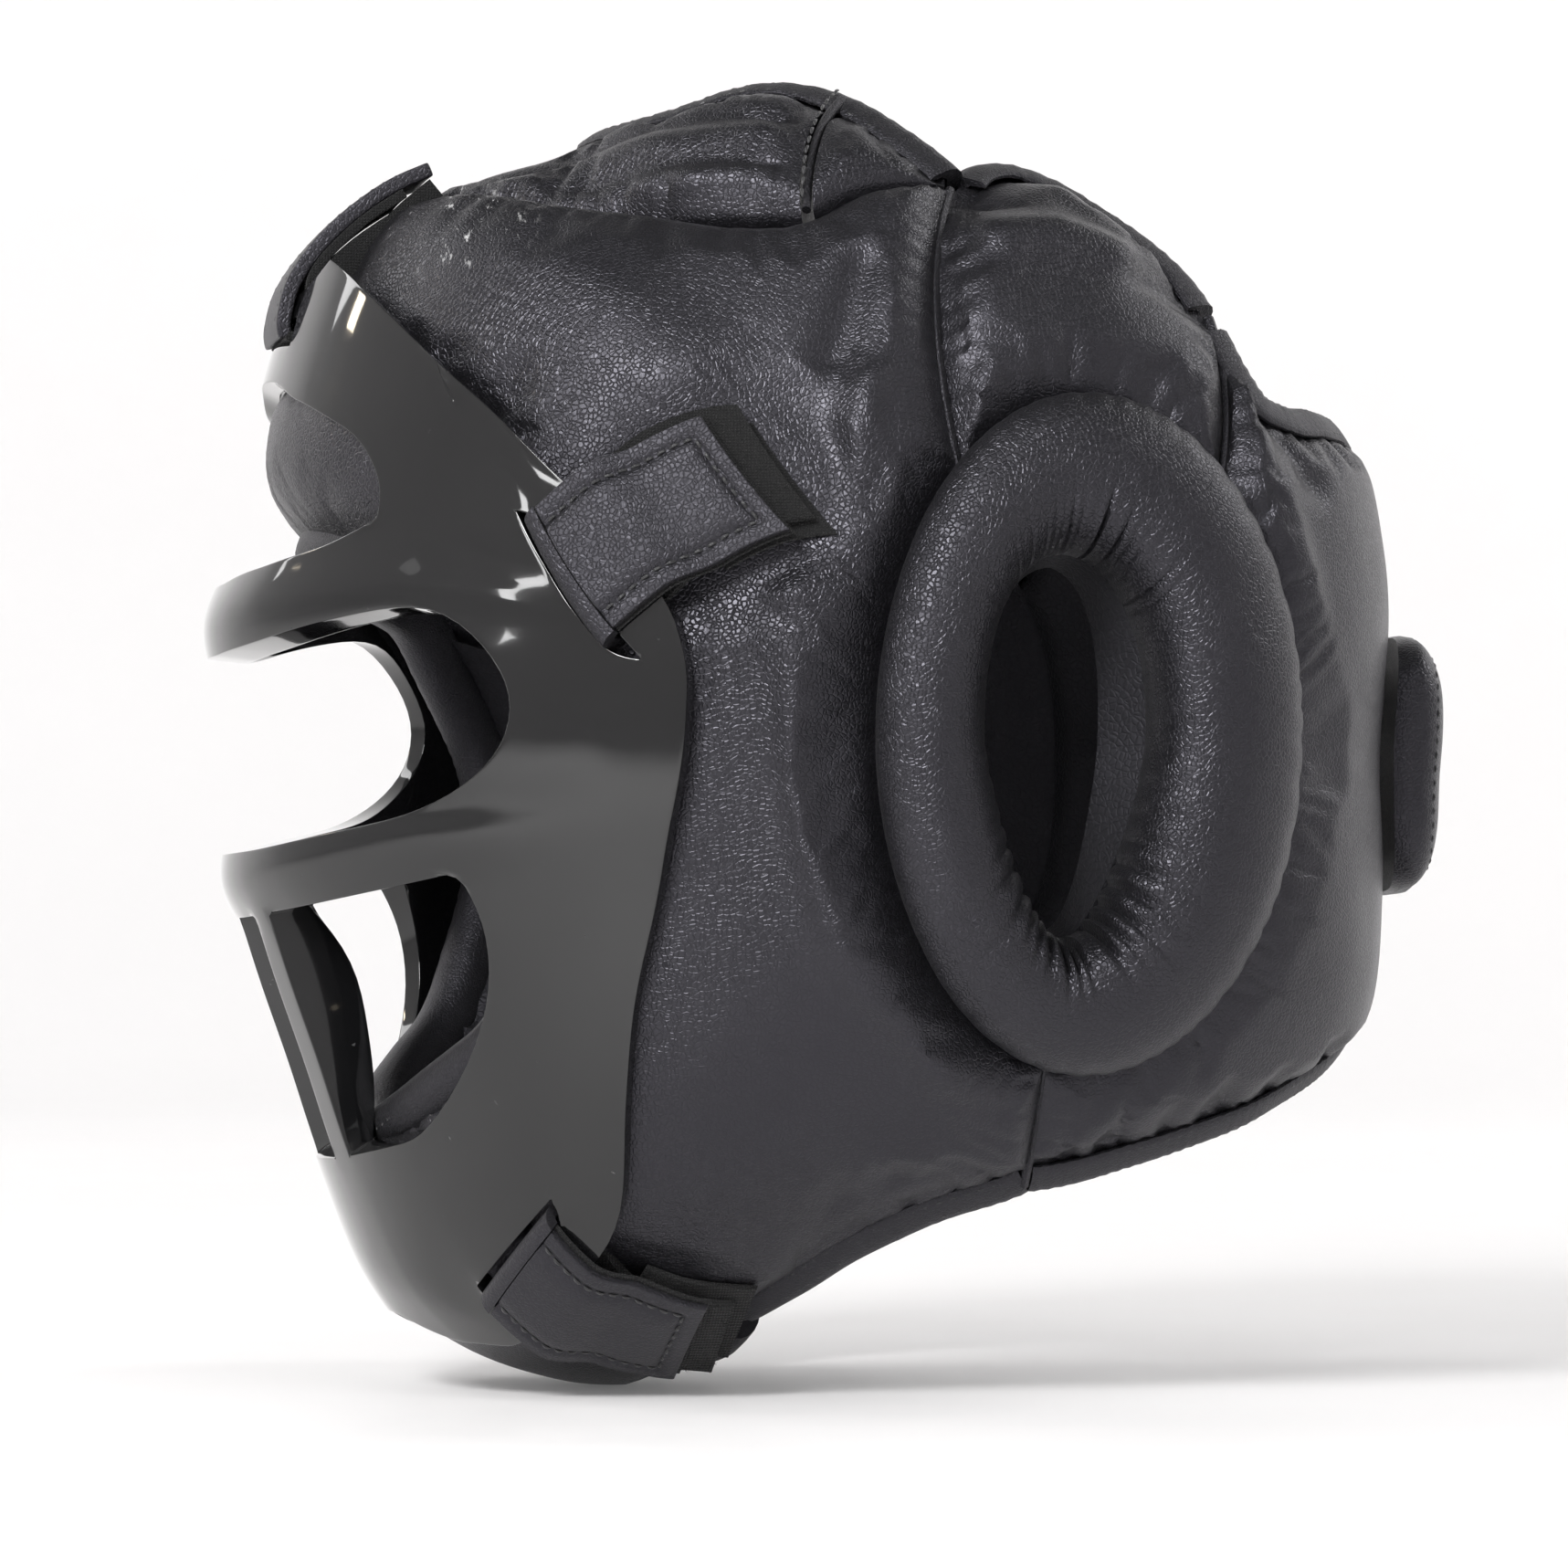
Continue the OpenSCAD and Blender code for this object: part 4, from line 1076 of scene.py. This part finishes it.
cords = []
far_cheek = [p[:2] for p in CHEEK]
ring_seam = ring_ts(np.arange(0, 360, 2.0))
seam_cord(ring_seam, 6.2, 1.5, loop=True)
sew(even(ring_seam, 0.9, True), 4.9, 3.2, loop=True)
seam_cord(dense(far_cheek[:9]), 5.6, 1.4)
seam_cord(dense(far_cheek[9:13]), 5.4, 1.4)
for t, s, ring_angle, depth in ((96.9, 37.6, 127, 5.6), (65.3, 40.5, 46.2, 5.6),
                                (269.6, 44.9, 261.3, 4.2)):
    seam_cord(np.linspace((t, s), ring_ts(ring_angle), 12), depth, 1.2)
wing_edge = np.linspace((103.6, 23.2), (112.8, 42.1), 12)
seam_cord(wing_edge, 2.4, 1.0)
sew(wing_edge + [0, -0.7], 0.3, 3.2)
rim_piece("crown_binding", [(t, -s) for t, s in WING_RIM[::-1]] + both(CROWN_RIM)[1:-1]
          + WING_RIM, -1, piece_mid, seed=101, lift=1.6)
rim_piece("upper_ear_binding", [(94.9, 34.8)] + [p[:2] for p in UPPER_EAR[1:]], -1, seed=104,
          lift=-0.8)
rim_piece("rear_binding", [p[:2] for p in REAR], -1, seed=107)
rim_piece("jaw_binding", far_cheek[23:28], 1, seed=110)
rim_piece("chin_binding", CHIN_LOW[1:-1], 1, piece_mid, seed=113)
face_half = ([brow_edge(k) for k in (0, 0.25, 0.5, 0.75)] + far_cheek[14:21]
             + [chin_edge(k) for k in (0.8, 0.6, 0.4, 0.2)])
face_loop = face_half + [(213, 0)] + [(t, -s) for t, s in face_half[:0:-1]]
rim_piece("face_binding", face_loop, 1, piece_mid, loop=True, seed=116)


# ------------------------------------------------------------------ the face cage
EDGE_WALL = WALL - 0.7
CAGE_LINES = [
    (147, 144, (146.6, 30), (149.6, 43), 0, EDGE_WALL),
    (148.6, 147.2, (149.2, 31), (151.6, 47.5), 0, EDGE_WALL),
    (150.4, 150, (151.8, 31), (153, 51), 0, EDGE_WALL),
    (153, 154, (155.6, 28), (154.6, 54), 0, WALL),
    (157.5, 157.5, (158.6, 32.4), (156.4, 56.3), 0, WALL),
    (163, 162, (161.6, 32.4), (158.8, 58.6), -0.5, WALL + 1.5),
    (168.2, 167.2, (164.4, 27), (161.2, 60.4), -CREST, 0.7 * BAR),
    (171, 170.2, (166, 36), (163.8, 61.6), CREST, BAR),
    (173.6, 173, (167.6, 40.5), (166.6, 62.3), -CREST, 0.7 * BAR),
    (177, 177, (171, 46.3), (170, 63), 0, WALL),
    (180, 180, (176, 49), (175, 63), 0, WALL),
    (183, 183, (181.6, 47.6), (180, 62.6), 0, WALL),
    (186, 186, (185.4, 43.4), (184.6, 62), 0, WALL),
    (188.4, 188.4, (187.4, 37), (188.6, 61.2), -CREST, 0.7 * BAR),
    (190.8, 190.8, (190, 38.6), (192, 60.3), CREST, BAR),
    (193.4, 193.4, (193.4, 40.6), (196, 59), -CREST, 0.7 * BAR),
    (199, 199, (198.4, 41.8), (201, 57.3), 0, BAR + 3),
    (205, 205, (205, 40), (206, 55.3), 0, BAR),
    (209.4, 209.4, (210.4, 35.4), (210, 53.4), 0, BAR - 2),
    (212.4, 212.8, (214, 27), (214.4, 51.3), 0, WALL + 2),
    (216, 217.6, (219.6, 22), (218.4, 49.6), 0, WALL),
    (219.2, 222, (226.2, 20), (222.6, 47.2), 0, WALL),
    (221.6, 224.8, (228.6, 19.6), (224.8, 45.7), 0, WALL),
    (224.4, 228.6, (231.4, 19.4), (230.4, 39.6), 0, WALL),
]
BAR_IN, BAR_OUT = 9, 13
CENTRE_STEPS = (0, 0.2, 0.42, 0.7, 1)
LOWER_STEPS = (0.13, 0.3, 0.47, 0.64, 1)
SLOT_HALF = 1.25
HALF_COLS = 12


def half_line(i):
    t0, t13, (te, se), (tr, sr), out, wall = CAGE_LINES[i]
    if i < 4:
        slot = sr - 8
    elif i > 9:
        slot = sr - 5
    else:
        slot = 48.3 + 0.76 * (lerp(te, tr, 0.75) - 157.2)
    up = (0.2, 0.4, (slot - SLOT_HALF - se) / (sr - se), (slot + SLOT_HALF - se) / (sr - se), 1)
    k = float(smooth((i - 12) / 9))
    steps = [lerp(a, b, k) for a, b in zip(up, LOWER_STEPS)]
    bars = 15 < i < 19
    points = [(t0, 0, out, wall), (t0, BAR_IN / 2, out, wall),
              (lerp(t0, t13, 0.15 if i < 4 else 0.5), BAR_IN, out, wall)]
    for f in CENTRE_STEPS:
        g = 1 - float(smooth(f)) * (1 if bars else 0.35)
        points.append((lerp(t13, te, f**1.3), lerp(BAR_OUT, se, f), out * g,
                       lerp(WALL, wall, g)))
    for f in steps:
        g = 0 if bars else 0.65 * (1 - float(smooth(f * 1.5)))
        points.append((lerp(te, tr, f), lerp(se, sr, f), out * g, lerp(WALL, wall, g)))
    return points


def open_cell(i, j):
    return ((i == 1 and j < 2) or (3 <= i < 6 and j < 7) or (8 <= i < 13 and j < 7)
            or (15 <= i < 19 and j < 7 and j != 2) or (4 <= i < 9 and j == 10)
            or (i == 21 and 7 < j < HALF_COLS - 1))


def face_cage():
    rows = []
    for i in range(len(CAGE_LINES)):
        half = half_line(i)
        rows.append([(t, -s, e, w) for t, s, e, w in half[:0:-1]] + half)
    g = np.array(rows)
    n, m = g.shape[:2]
    outer = cage_at(g[..., 0], g[..., 1], g[..., 2])
    inner = cage_at(g[..., 0], g[..., 1], g[..., 2] - g[..., 3])
    verts = np.vstack([outer.reshape(-1, 3), inner.reshape(-1, 3)])
    size = n * m

    def solid(i, j):
        return (0 <= i < n - 1 and 0 <= j < m - 1
                and not open_cell(i, j - HALF_COLS if j >= HALF_COLS else HALF_COLS - 1 - j))

    faces = []
    for i in range(n):
        for j in range(m):
            a, b, c, d = i * m + j, (i + 1) * m + j, (i + 1) * m + j + 1, i * m + j + 1
            if solid(i, j):
                faces.append((a, b, c, d))
                faces.append((a + size, d + size, c + size, b + size))
            if j < m - 1 and solid(i, j) != solid(i - 1, j):
                q = (a, d, d + size, a + size)
                faces.append(q if solid(i, j) else q[::-1])
            if i < n - 1 and solid(i, j) != solid(i, j - 1):
                q = (a, a + size, b + size, b)
                faces.append(q if solid(i, j) else q[::-1])
    used = sorted({k for f in faces for k in f})
    back = {k: x for x, k in enumerate(used)}
    return verts[used], [tuple(back[k] for k in f) for f in faces]


def round_edges(piece, width, levels=1, angle=40):
    """Rounds the edges sharper than the angle, smooths the piece and keeps the result."""
    bevel = piece.modifiers.new("edge", "BEVEL")
    bevel.width = width * MM
    bevel.segments = 2
    bevel.limit_method = "ANGLE"
    bevel.angle_limit = math.radians(angle)
    smoothing = piece.modifiers.new("smooth", "SUBSURF")
    smoothing.levels = smoothing.render_levels = levels
    bpy.context.view_layer.update()
    deps = bpy.context.evaluated_depsgraph_get()
    done = bpy.data.meshes.new_from_object(piece.evaluated_get(deps))
    piece.modifiers.clear()
    old = piece.data
    piece.data = done
    bpy.data.meshes.remove(old)


cage = make("face_cage_moulding", face_cage(), "face_cage", PLASTIC,
            "face_cage", smooth_angle=180)
round_edges(cage, 1.5, 2, 50)

# ------------------------------------------------------------------ straps
INSET = 4.0  # from a tab's edge to its stitches
FOLD_V = np.linspace(-0.01, 1.02, 24)


def on_strap(strap, x, v, e, h):
    """x along the strap from its slot, v across it, h above the loop patch."""
    x, v, e, h = floats(x, v, e, h)
    c = [np.array(q, float) for q in strap]
    a = c[0] + (c[1] - c[0]) * v[..., None]
    b = c[2] + (c[3] - c[2]) * v[..., None]
    p = a + (b - a) * (x / LEG)[..., None]
    k = smooth((x - EDGE_STRIP - 1) / 12)[..., None]
    return lerp(cage_at(p[..., 0], p[..., 1], e), head(p[..., 0], p[..., 1], -RIDE - h), k)


def ribbon(place, xs, thick, m=17):
    """A flat strap: place(x, v, height) gives its points."""
    X, V = np.meshgrid(xs, crowded(np.linspace(0, 1, m), 0.6), indexing="ij")
    return closed(place(X, V, thick), place(X, V, 0))


def bristled(verts, faces, count, seed, length=0.9):
    """The solid with short stiff hairs over its faces."""
    rng = np.random.default_rng(seed)
    v = np.asarray(verts)
    quads = np.array([f for f in faces if len(f) == 4])
    a, b, c, d = (v[quads[:, i]] for i in range(4))
    normal = np.cross(c - a, d - b)
    area = np.linalg.norm(normal, axis=1)
    pick = rng.choice(len(quads), count, p=area / area.sum())
    i, j = rng.random((2, count, 1))
    foot = lerp(lerp(a[pick], b[pick], i), lerp(d[pick], c[pick], i), j)
    way = normal[pick] / area[pick, None] + rng.normal(0, 0.55, (count, 3))
    way /= np.linalg.norm(way, axis=1, keepdims=True)
    tip = foot + way * length * rng.uniform(0.5, 1.2, (count, 1))
    across = np.cross(way, rng.normal(0, 1, (count, 3)))
    across /= np.linalg.norm(across, axis=1, keepdims=True)
    other = np.cross(way, across)
    r = 0.09
    foot = foot - way * 0.2
    hairs = np.stack([foot + r * across, foot - 0.5 * r * across + 0.87 * r * other,
                      foot - 0.5 * r * across - 0.87 * r * other, tip], 1).reshape(-1, 3)
    more = []
    for k in range(count):
        o = len(v) + 4 * k
        more += [(o, o + 1, o + 3), (o + 1, o + 2, o + 3), (o + 2, o, o + 3), (o + 2, o + 1, o)]
    return np.vstack([v, hairs]), list(faces) + more


def strap_set(tag, strap, past, turn):
    """A strap's tab, fold, inner leg and patch. The leg ends past the tab, turned a little."""

    def tab(x, v, up):
        uneven = 0.05 * noise3(np.stack([x, v * STRAP_WIDTH, x * 0], -1), 16, 120)
        curl = 0.7 * bump(x - LEG, 7) * (v - 0.5) ** 2 * 4
        return on_strap(strap, x, v, GAP + up + uneven + curl,
                        THICK + 2 * GAP + up + uneven + curl)

    def leather_tab(x, v, up):
        # the stitching pulls a shallow groove into the leather
        rim = np.minimum(np.minimum(v, 1 - v) * STRAP_WIDTH, LEG - x)
        groove = 0.75 * bump(rim - INSET, 0.8) * (up > 0)
        puff = 0.4 * smooth((rim - INSET) / 4) * (up > 0)
        return tab(x, v, 1.0 + up - groove + puff)

    def under(x, v, up):
        skew = lerp(turn, -turn, v) * smooth((x - 20) / 25)
        return on_strap(strap, x + skew, v - 0.12 * smooth((x - 6) / 24),
                        -WALL - GAP - THICK + up, GAP + up)

    def bent(points):
        """A sheet across the strap, along points of (x, height) around the slot."""
        rows = spline(points, np.linspace(0, 7, 22)).T
        x, h = (q[:, None] + 0 * FOLD_V for q in rows)
        return on_strap(strap, x, FOLD_V + 0 * x, h, h)

    leather_part = ribbon(leather_tab, np.linspace(2.3, LEG, 56), 1.7, 41)
    hooks = ribbon(lambda x, v, up: tab(x * 1.015, -0.012 + v * 1.024, up),
                   np.linspace(2.3, LEG, 56), 0.95)
    leg = bristled(*ribbon(under, np.linspace(2, LEG + past, 26), THICK), 900, 170)
    low = -WALL - GAP - THICK / 2
    folded = closed(
        bent([(2.1, 3.1), (0.9, 3.0), (-0.2, 2.6), (-1.1, 1.8), (-1.6, 0.8), (-1.6, -0.4),
              (-1.2, -2), (-0.8, low)]),
        bent([(2.1, 0.4), (1.6, 0.4), (1.2, 0.3), (0.9, 0.1), (0.8, -0.2), (0.9, -1),
              (1.1, -2.4), (1.2, low)]))
    patch = ribbon(lambda x, v, up: on_strap(strap, x, v, 0, -RIDE + up),
                   np.linspace(EDGE_STRIP + 12, LEG + REACH, 12), RIDE)
    # a stitched outline on the tab's leather
    a, b = INSET / STRAP_WIDTH, 1 - INSET / STRAP_WIDTH
    end = LEG - INSET
    outline = [(np.linspace(3, end, 60), np.full(60, a)), (np.full(40, end), np.linspace(a, b, 40)),
               (np.linspace(end, 3, 60), np.full(60, b))]
    for sx, hand in ((1, "left"), (-1, "right")):
        def sided(solid):
            return solid if sx > 0 else mirror_of(*solid)

        name = f"{tag}_{hand}"
        body = f"strap_tab_{name}"
        piece = make(f"tab_{name}", sided(leather_part), body, STRAP)
        round_edges(piece, 0.5)
        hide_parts(body)
        make(f"tab_{name}_hooks", bristled(*sided(hooks), 700, 160), body, FUZZ)
        make(f"under_leg_{name}", sided(leg), "face_cage", FUZZ,
             f"inner_leg_{name}")
        make(f"fold_{name}", sided(folded), "face_cage", STRAP,
             f"inner_leg_{name}")
        make(f"patch_{name}", sided(patch), "shell", FUZZ, f"loop_patch_{name}")
        rows = []
        for x, v in outline:
            p = tab(x, v, 2.3)
            up = tab(x, v, 3.3) - p
            k = np.array([sx, 1, 1])
            rows.append(stitches(p * k, up * k, 2.9, 2.1, 0.34, seed=131))
        make(f"tab_{name}_stitches", join(rows), body, THREAD)


strap_set("upper", UPPER_STRAP, 8.0, 0.6)
strap_set("lower", LOWER_STRAP, 6.5, 0.6)


def over(points):
    """(y, z) on the centre plane for points of (t, height over the shell)."""
    t, height = np.array(points, float).T
    r = reach(t) + height
    return np.stack([EAR_Y + r * np.cos(np.radians(t)), r * np.sin(np.radians(t))], -1)


TAB_LINE = over([(149.9, 8.6), (149.3, 9.9), (148.3, 10.6), (146.6, 11.2), (144.6, 10.6),
                 (142.1, 9.1), (139.1, 6.7), (136.3, 4.5), (133.7, 2.8)])
UNDER_LINE = over([(149.6, 8.6), (149.5, 6.8), (148.9, 4.6), (147.9, 3.7), (147.1, 4.5),
                   (146.3, 6.6), (145.5, 7.8), (144.6, 7.9), (142.1, 6.4), (139.1, 4.0),
                   (136.3, 1.8)])
TAB_THICK = 3.2
PATCH_LINE = over([(146.6, 1.4), (145.4, 2.6), (144.2, 2.8), (142.1, 2.1), (139.8, 0.6),
                   (138.2, -0.8), (136.3, -1.6), (134.4, -1.4)])
PATCH_THICK = [4.4, 7.4, 7.4, 5.8, 4, 3.6, 4.6, 4.6]
HALF_STRAP = 14.6


def flat_strap(line, thick):
    """A strap on the centre plane along a line of (y, z), thick to both sides of it."""
    k = np.linspace(0, len(line) - 1, 40)
    thick = np.broadcast_to(thick, len(line))
    rows = even(np.column_stack([spline(line, k), np.interp(k, range(len(line)), thick)]), 1.4)
    yz, half = rows[:, :2], rows[:, 2:] / 2
    run = unit(np.gradient(yz, axis=0))
    out = np.stack([run[:, 1] * -1, run[:, 0]], -1)
    if np.dot(out[len(out) // 2], yz[len(yz) // 2] - [EAR_Y, 0]) < 0:
        out = -out
    v = np.linspace(-1, 1, 19)
    sag = -0.4 * v**2
    sheets = []
    for height in (half, -half):
        sheet = np.zeros((len(yz), len(v), 3))
        sheet[..., 0] = v[None] * HALF_STRAP
        sheet[..., 1:] = yz[:, None] + out[:, None] * (height + sag[None] * 0.5)[..., None]
        sheets.append(sheet)
    return closed(*sheets), yz, out


solid, yz, out = flat_strap(TAB_LINE, TAB_THICK)
piece = make("tab_forehead", solid, "strap_tab_forehead", STRAP)
round_edges(piece, 0.5)
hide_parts("strap_tab_forehead")
rows = []
end = len(yz) - 3
half = HALF_STRAP - 3.4
for x0, x1, i0, i1 in ((-half, -half, 2, end), (-half, half, end, end), (half, half, end, 2)):
    i = np.linspace(i0, i1, 60)
    x = np.linspace(x0, x1, 60)
    y, z, up_y, up_z = (np.interp(i, range(len(yz)), q) for q in (*yz.T, *out.T))
    up = np.stack([x * 0, up_y, up_z], -1)
    height = TAB_THICK / 2 - 0.25 - 0.2 * (x[:, None] / HALF_STRAP) ** 2
    rows.append(stitches(np.stack([x, y, z], -1) + up * height, up, 2.9, 2.1, 0.34, seed=140))
make("tab_forehead_stitches", join(rows), "strap_tab_forehead", THREAD)
piece = make("under_leg_forehead", flat_strap(UNDER_LINE, THICK)[0], "face_cage",
             FUZZ)
round_edges(piece, 0.3)
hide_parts("inner_leg_forehead")
make("patch_forehead", flat_strap(PATCH_LINE, PATCH_THICK)[0], "shell", FUZZ,
     "loop_patch_forehead")


# ------------------------------------------------------------------ rear closure
def flap_at(u, v):
    """The tongue's outer face: t, s and height at u up and v across, both -1 to 1."""
    arch = np.clip(1 - np.abs(u) ** 2.6, 0, 1) ** 0.5
    across = np.clip(1 - np.abs(v) ** 8, 0, 1) ** 0.5
    puff = 5.0 + 9.4 * arch * across
    inner = smooth(arch * across / 0.5)
    puff = puff - 1.4 * bump(np.abs(v) - 0.62, 0.07) * inner
    T = -2.1 + 16.5 * u * np.sqrt(1 - 0.3 * v**6)
    S = 20 * v * np.sqrt(1 - 0.3 * u**6)
    P0 = head(T, S)
    puff = puff - inner * (0.5 * noise3(P0, 22, 150) + 0.2 * noise3(P0, 9, 151))
    return T, S, puff


def flap():
    """The padded tongue: D-shaped from the side, with rounded corners and two sewn rows."""
    u, v = np.meshgrid(np.linspace(1, -1, 56), np.linspace(1, -1, 70), indexing="ij")
    t, s, puff = flap_at(u, v)
    return closed(head(t, s, -puff), head(t, s, -3.0))


def flap_threads():
    """A row of stitches around the tongue and two rows up it."""
    q = np.radians(np.arange(0, 360, 1.5))
    rows = [(0.86 * np.sign(np.cos(q)) * np.abs(np.cos(q)) ** 0.35,
             0.88 * np.sign(np.sin(q)) * np.abs(np.sin(q)) ** 0.35)]
    rows += [(np.linspace(-0.8, 0.8, 60), np.full(60, v)) for v in (-0.62, 0.62)]
    sewn = []
    for i, (u, v) in enumerate(rows):
        t, s, puff = flap_at(u, v)
        p = head(t, s, 0.1 - puff)
        sewn.append(stitches(p, head(t, s, -1 - puff) - p, 3.0, 2.2, 0.34, 0.1, loop=i == 0))
    return join(sewn)


make("closure_flap_pad", flap(), "closure_flap", SHELL, "closure_flap")
make("closure_flap_stitches", flap_threads(), "closure_flap", THREAD)
t, s = np.meshgrid(np.linspace(11, -15, 28), np.linspace(-6, -18, 14), indexing="ij")
for name, body, top, low, node in (
        ("closure_hooks", "closure_flap", -2.7, -1.9, "closure_hook_patch"),
        ("closure_loops", "shell", -1.6, -0.8, "closure_loop_patch")):
    make(name, closed(head(t, s, top), head(t, s, low)), body, FUZZ, node)

# ------------------------------------------------------------------ threads on the shell
make("shell_stitches", join(threads), "shell", THREAD)
make("seam_cords", join(cords), "shell", BIND)

# ------------------------------------------------------------------ stage, light, camera
# from here on, lengths are metres
FLOOR_Z = min(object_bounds()[0][2], cad_box[0][2])


def backdrop():
    """A pale floor that curves up into a wall on every side."""
    sides = 96
    steps = [(r, 0.0) for r in (0.3, 0.8, 1.6, 2.4)]
    for k in range(1, 13):
        a = k / 12 * math.pi / 2
        steps.append((2.4 + 1.0 * math.sin(a), 1.0 - 1.0 * math.cos(a)))
    steps.append((3.4, 4.0))
    verts = []
    for r, z in steps:
        for k in range(sides):
            a = 2 * math.pi * k / sides
            verts.append((r * math.cos(a), r * math.sin(a), FLOOR_Z + z))
    faces = grid_faces(len(steps), sides, wrap_m=True)
    faces += [(len(verts), (k + 1) % sides, k) for k in range(sides)]
    verts.append((0, 0, FLOOR_Z))
    mesh = smooth_mesh("backdrop", verts, faces, 1)
    n = Nodes("pale floor")
    color = n.mix(n.noise(3, 2), (0.86, 0.85, 0.85), (0.9, 0.89, 0.89))
    mesh.materials.append(n.out(color, n.ramp(n.noise(40, 2), 0.3, 0.7, 0.5, 0.6),
                                Emission_Color=(1, 1, 1, 1), Emission_Strength=0.1))
    return linked("backdrop", mesh)


def aim(thing, target):
    way = Vector(target) - Vector(thing.location)
    thing.rotation_euler = way.to_track_quat("-Z", "Y").to_euler()


def softbox(name, place, target, size, watts, color=(1, 1, 1)):
    light = bpy.data.lights.new(name, "AREA")
    light.shape = "RECTANGLE"
    light.size, light.size_y = size
    light.energy = watts
    light.color = color
    lamp = linked(name, light)
    lamp.location = place
    aim(lamp, target)


backdrop()
TURN = math.radians(79.7)  # the camera looks at the left side, a little from the front
FWD = np.array([-math.sin(TURN), math.cos(TURN), 0])
RIGHT = np.array([math.cos(TURN), math.sin(TURN), 0])  # to the right in the picture
TARGET = np.array([0, -0.0084, -0.0081])


def toward(right, up, near, distance=1.5):
    """A place around the object, by its direction as the camera sees it."""
    way = RIGHT * right + np.array([0, 0, up]) - FWD * near
    return TARGET + distance * way / np.linalg.norm(way)


softbox("key", toward(-0.4, 0.5, 0.77), TARGET, (0.42, 0.42), 19.5)
softbox("over", toward(0.1, 0.8, 0.5), TARGET, (0.5, 0.5), 2)
softbox("rim", toward(-0.9, 0.44, -0.21), TARGET, (0.08, 0.1), 0.5, (1, 0.86, 0.66))
softbox("glint", toward(-0.67, 0.26, 0.69), TARGET, (0.06, 0.2), 0.5)
for name, depth, watts in (("wall_light", 1, 27), ("room_light", -1, 4)):
    far = TARGET + FWD * 3.3 * depth + np.array([0, 0, 0.3])
    for turn in (-1, 1):
        place = TARGET + FWD * 0.9 * depth + RIGHT * 1.9 * turn + np.array([0, 0, 1.6])
        softbox(name, place, far, (1.2, 1.2), watts * (0.9 + 0.12 * turn))

world = bpy.data.worlds.new("studio")
world.use_nodes = True
background = world.node_tree.nodes["Background"].inputs
background["Color"].default_value = (1, 1, 1, 1)
background["Strength"].default_value = 0.17
bpy.context.scene.world = world
bpy.context.scene.view_settings.view_transform = "Standard"

cam = bpy.data.cameras.new("camera")
cam.lens = 147
cam.sensor_width = 36
cam.clip_end = 30
camera = linked("camera", cam)
camera.location = TARGET - FWD * 1.4
camera.location.z = -0.043
bpy.context.scene.camera = camera
aim(camera, TARGET)
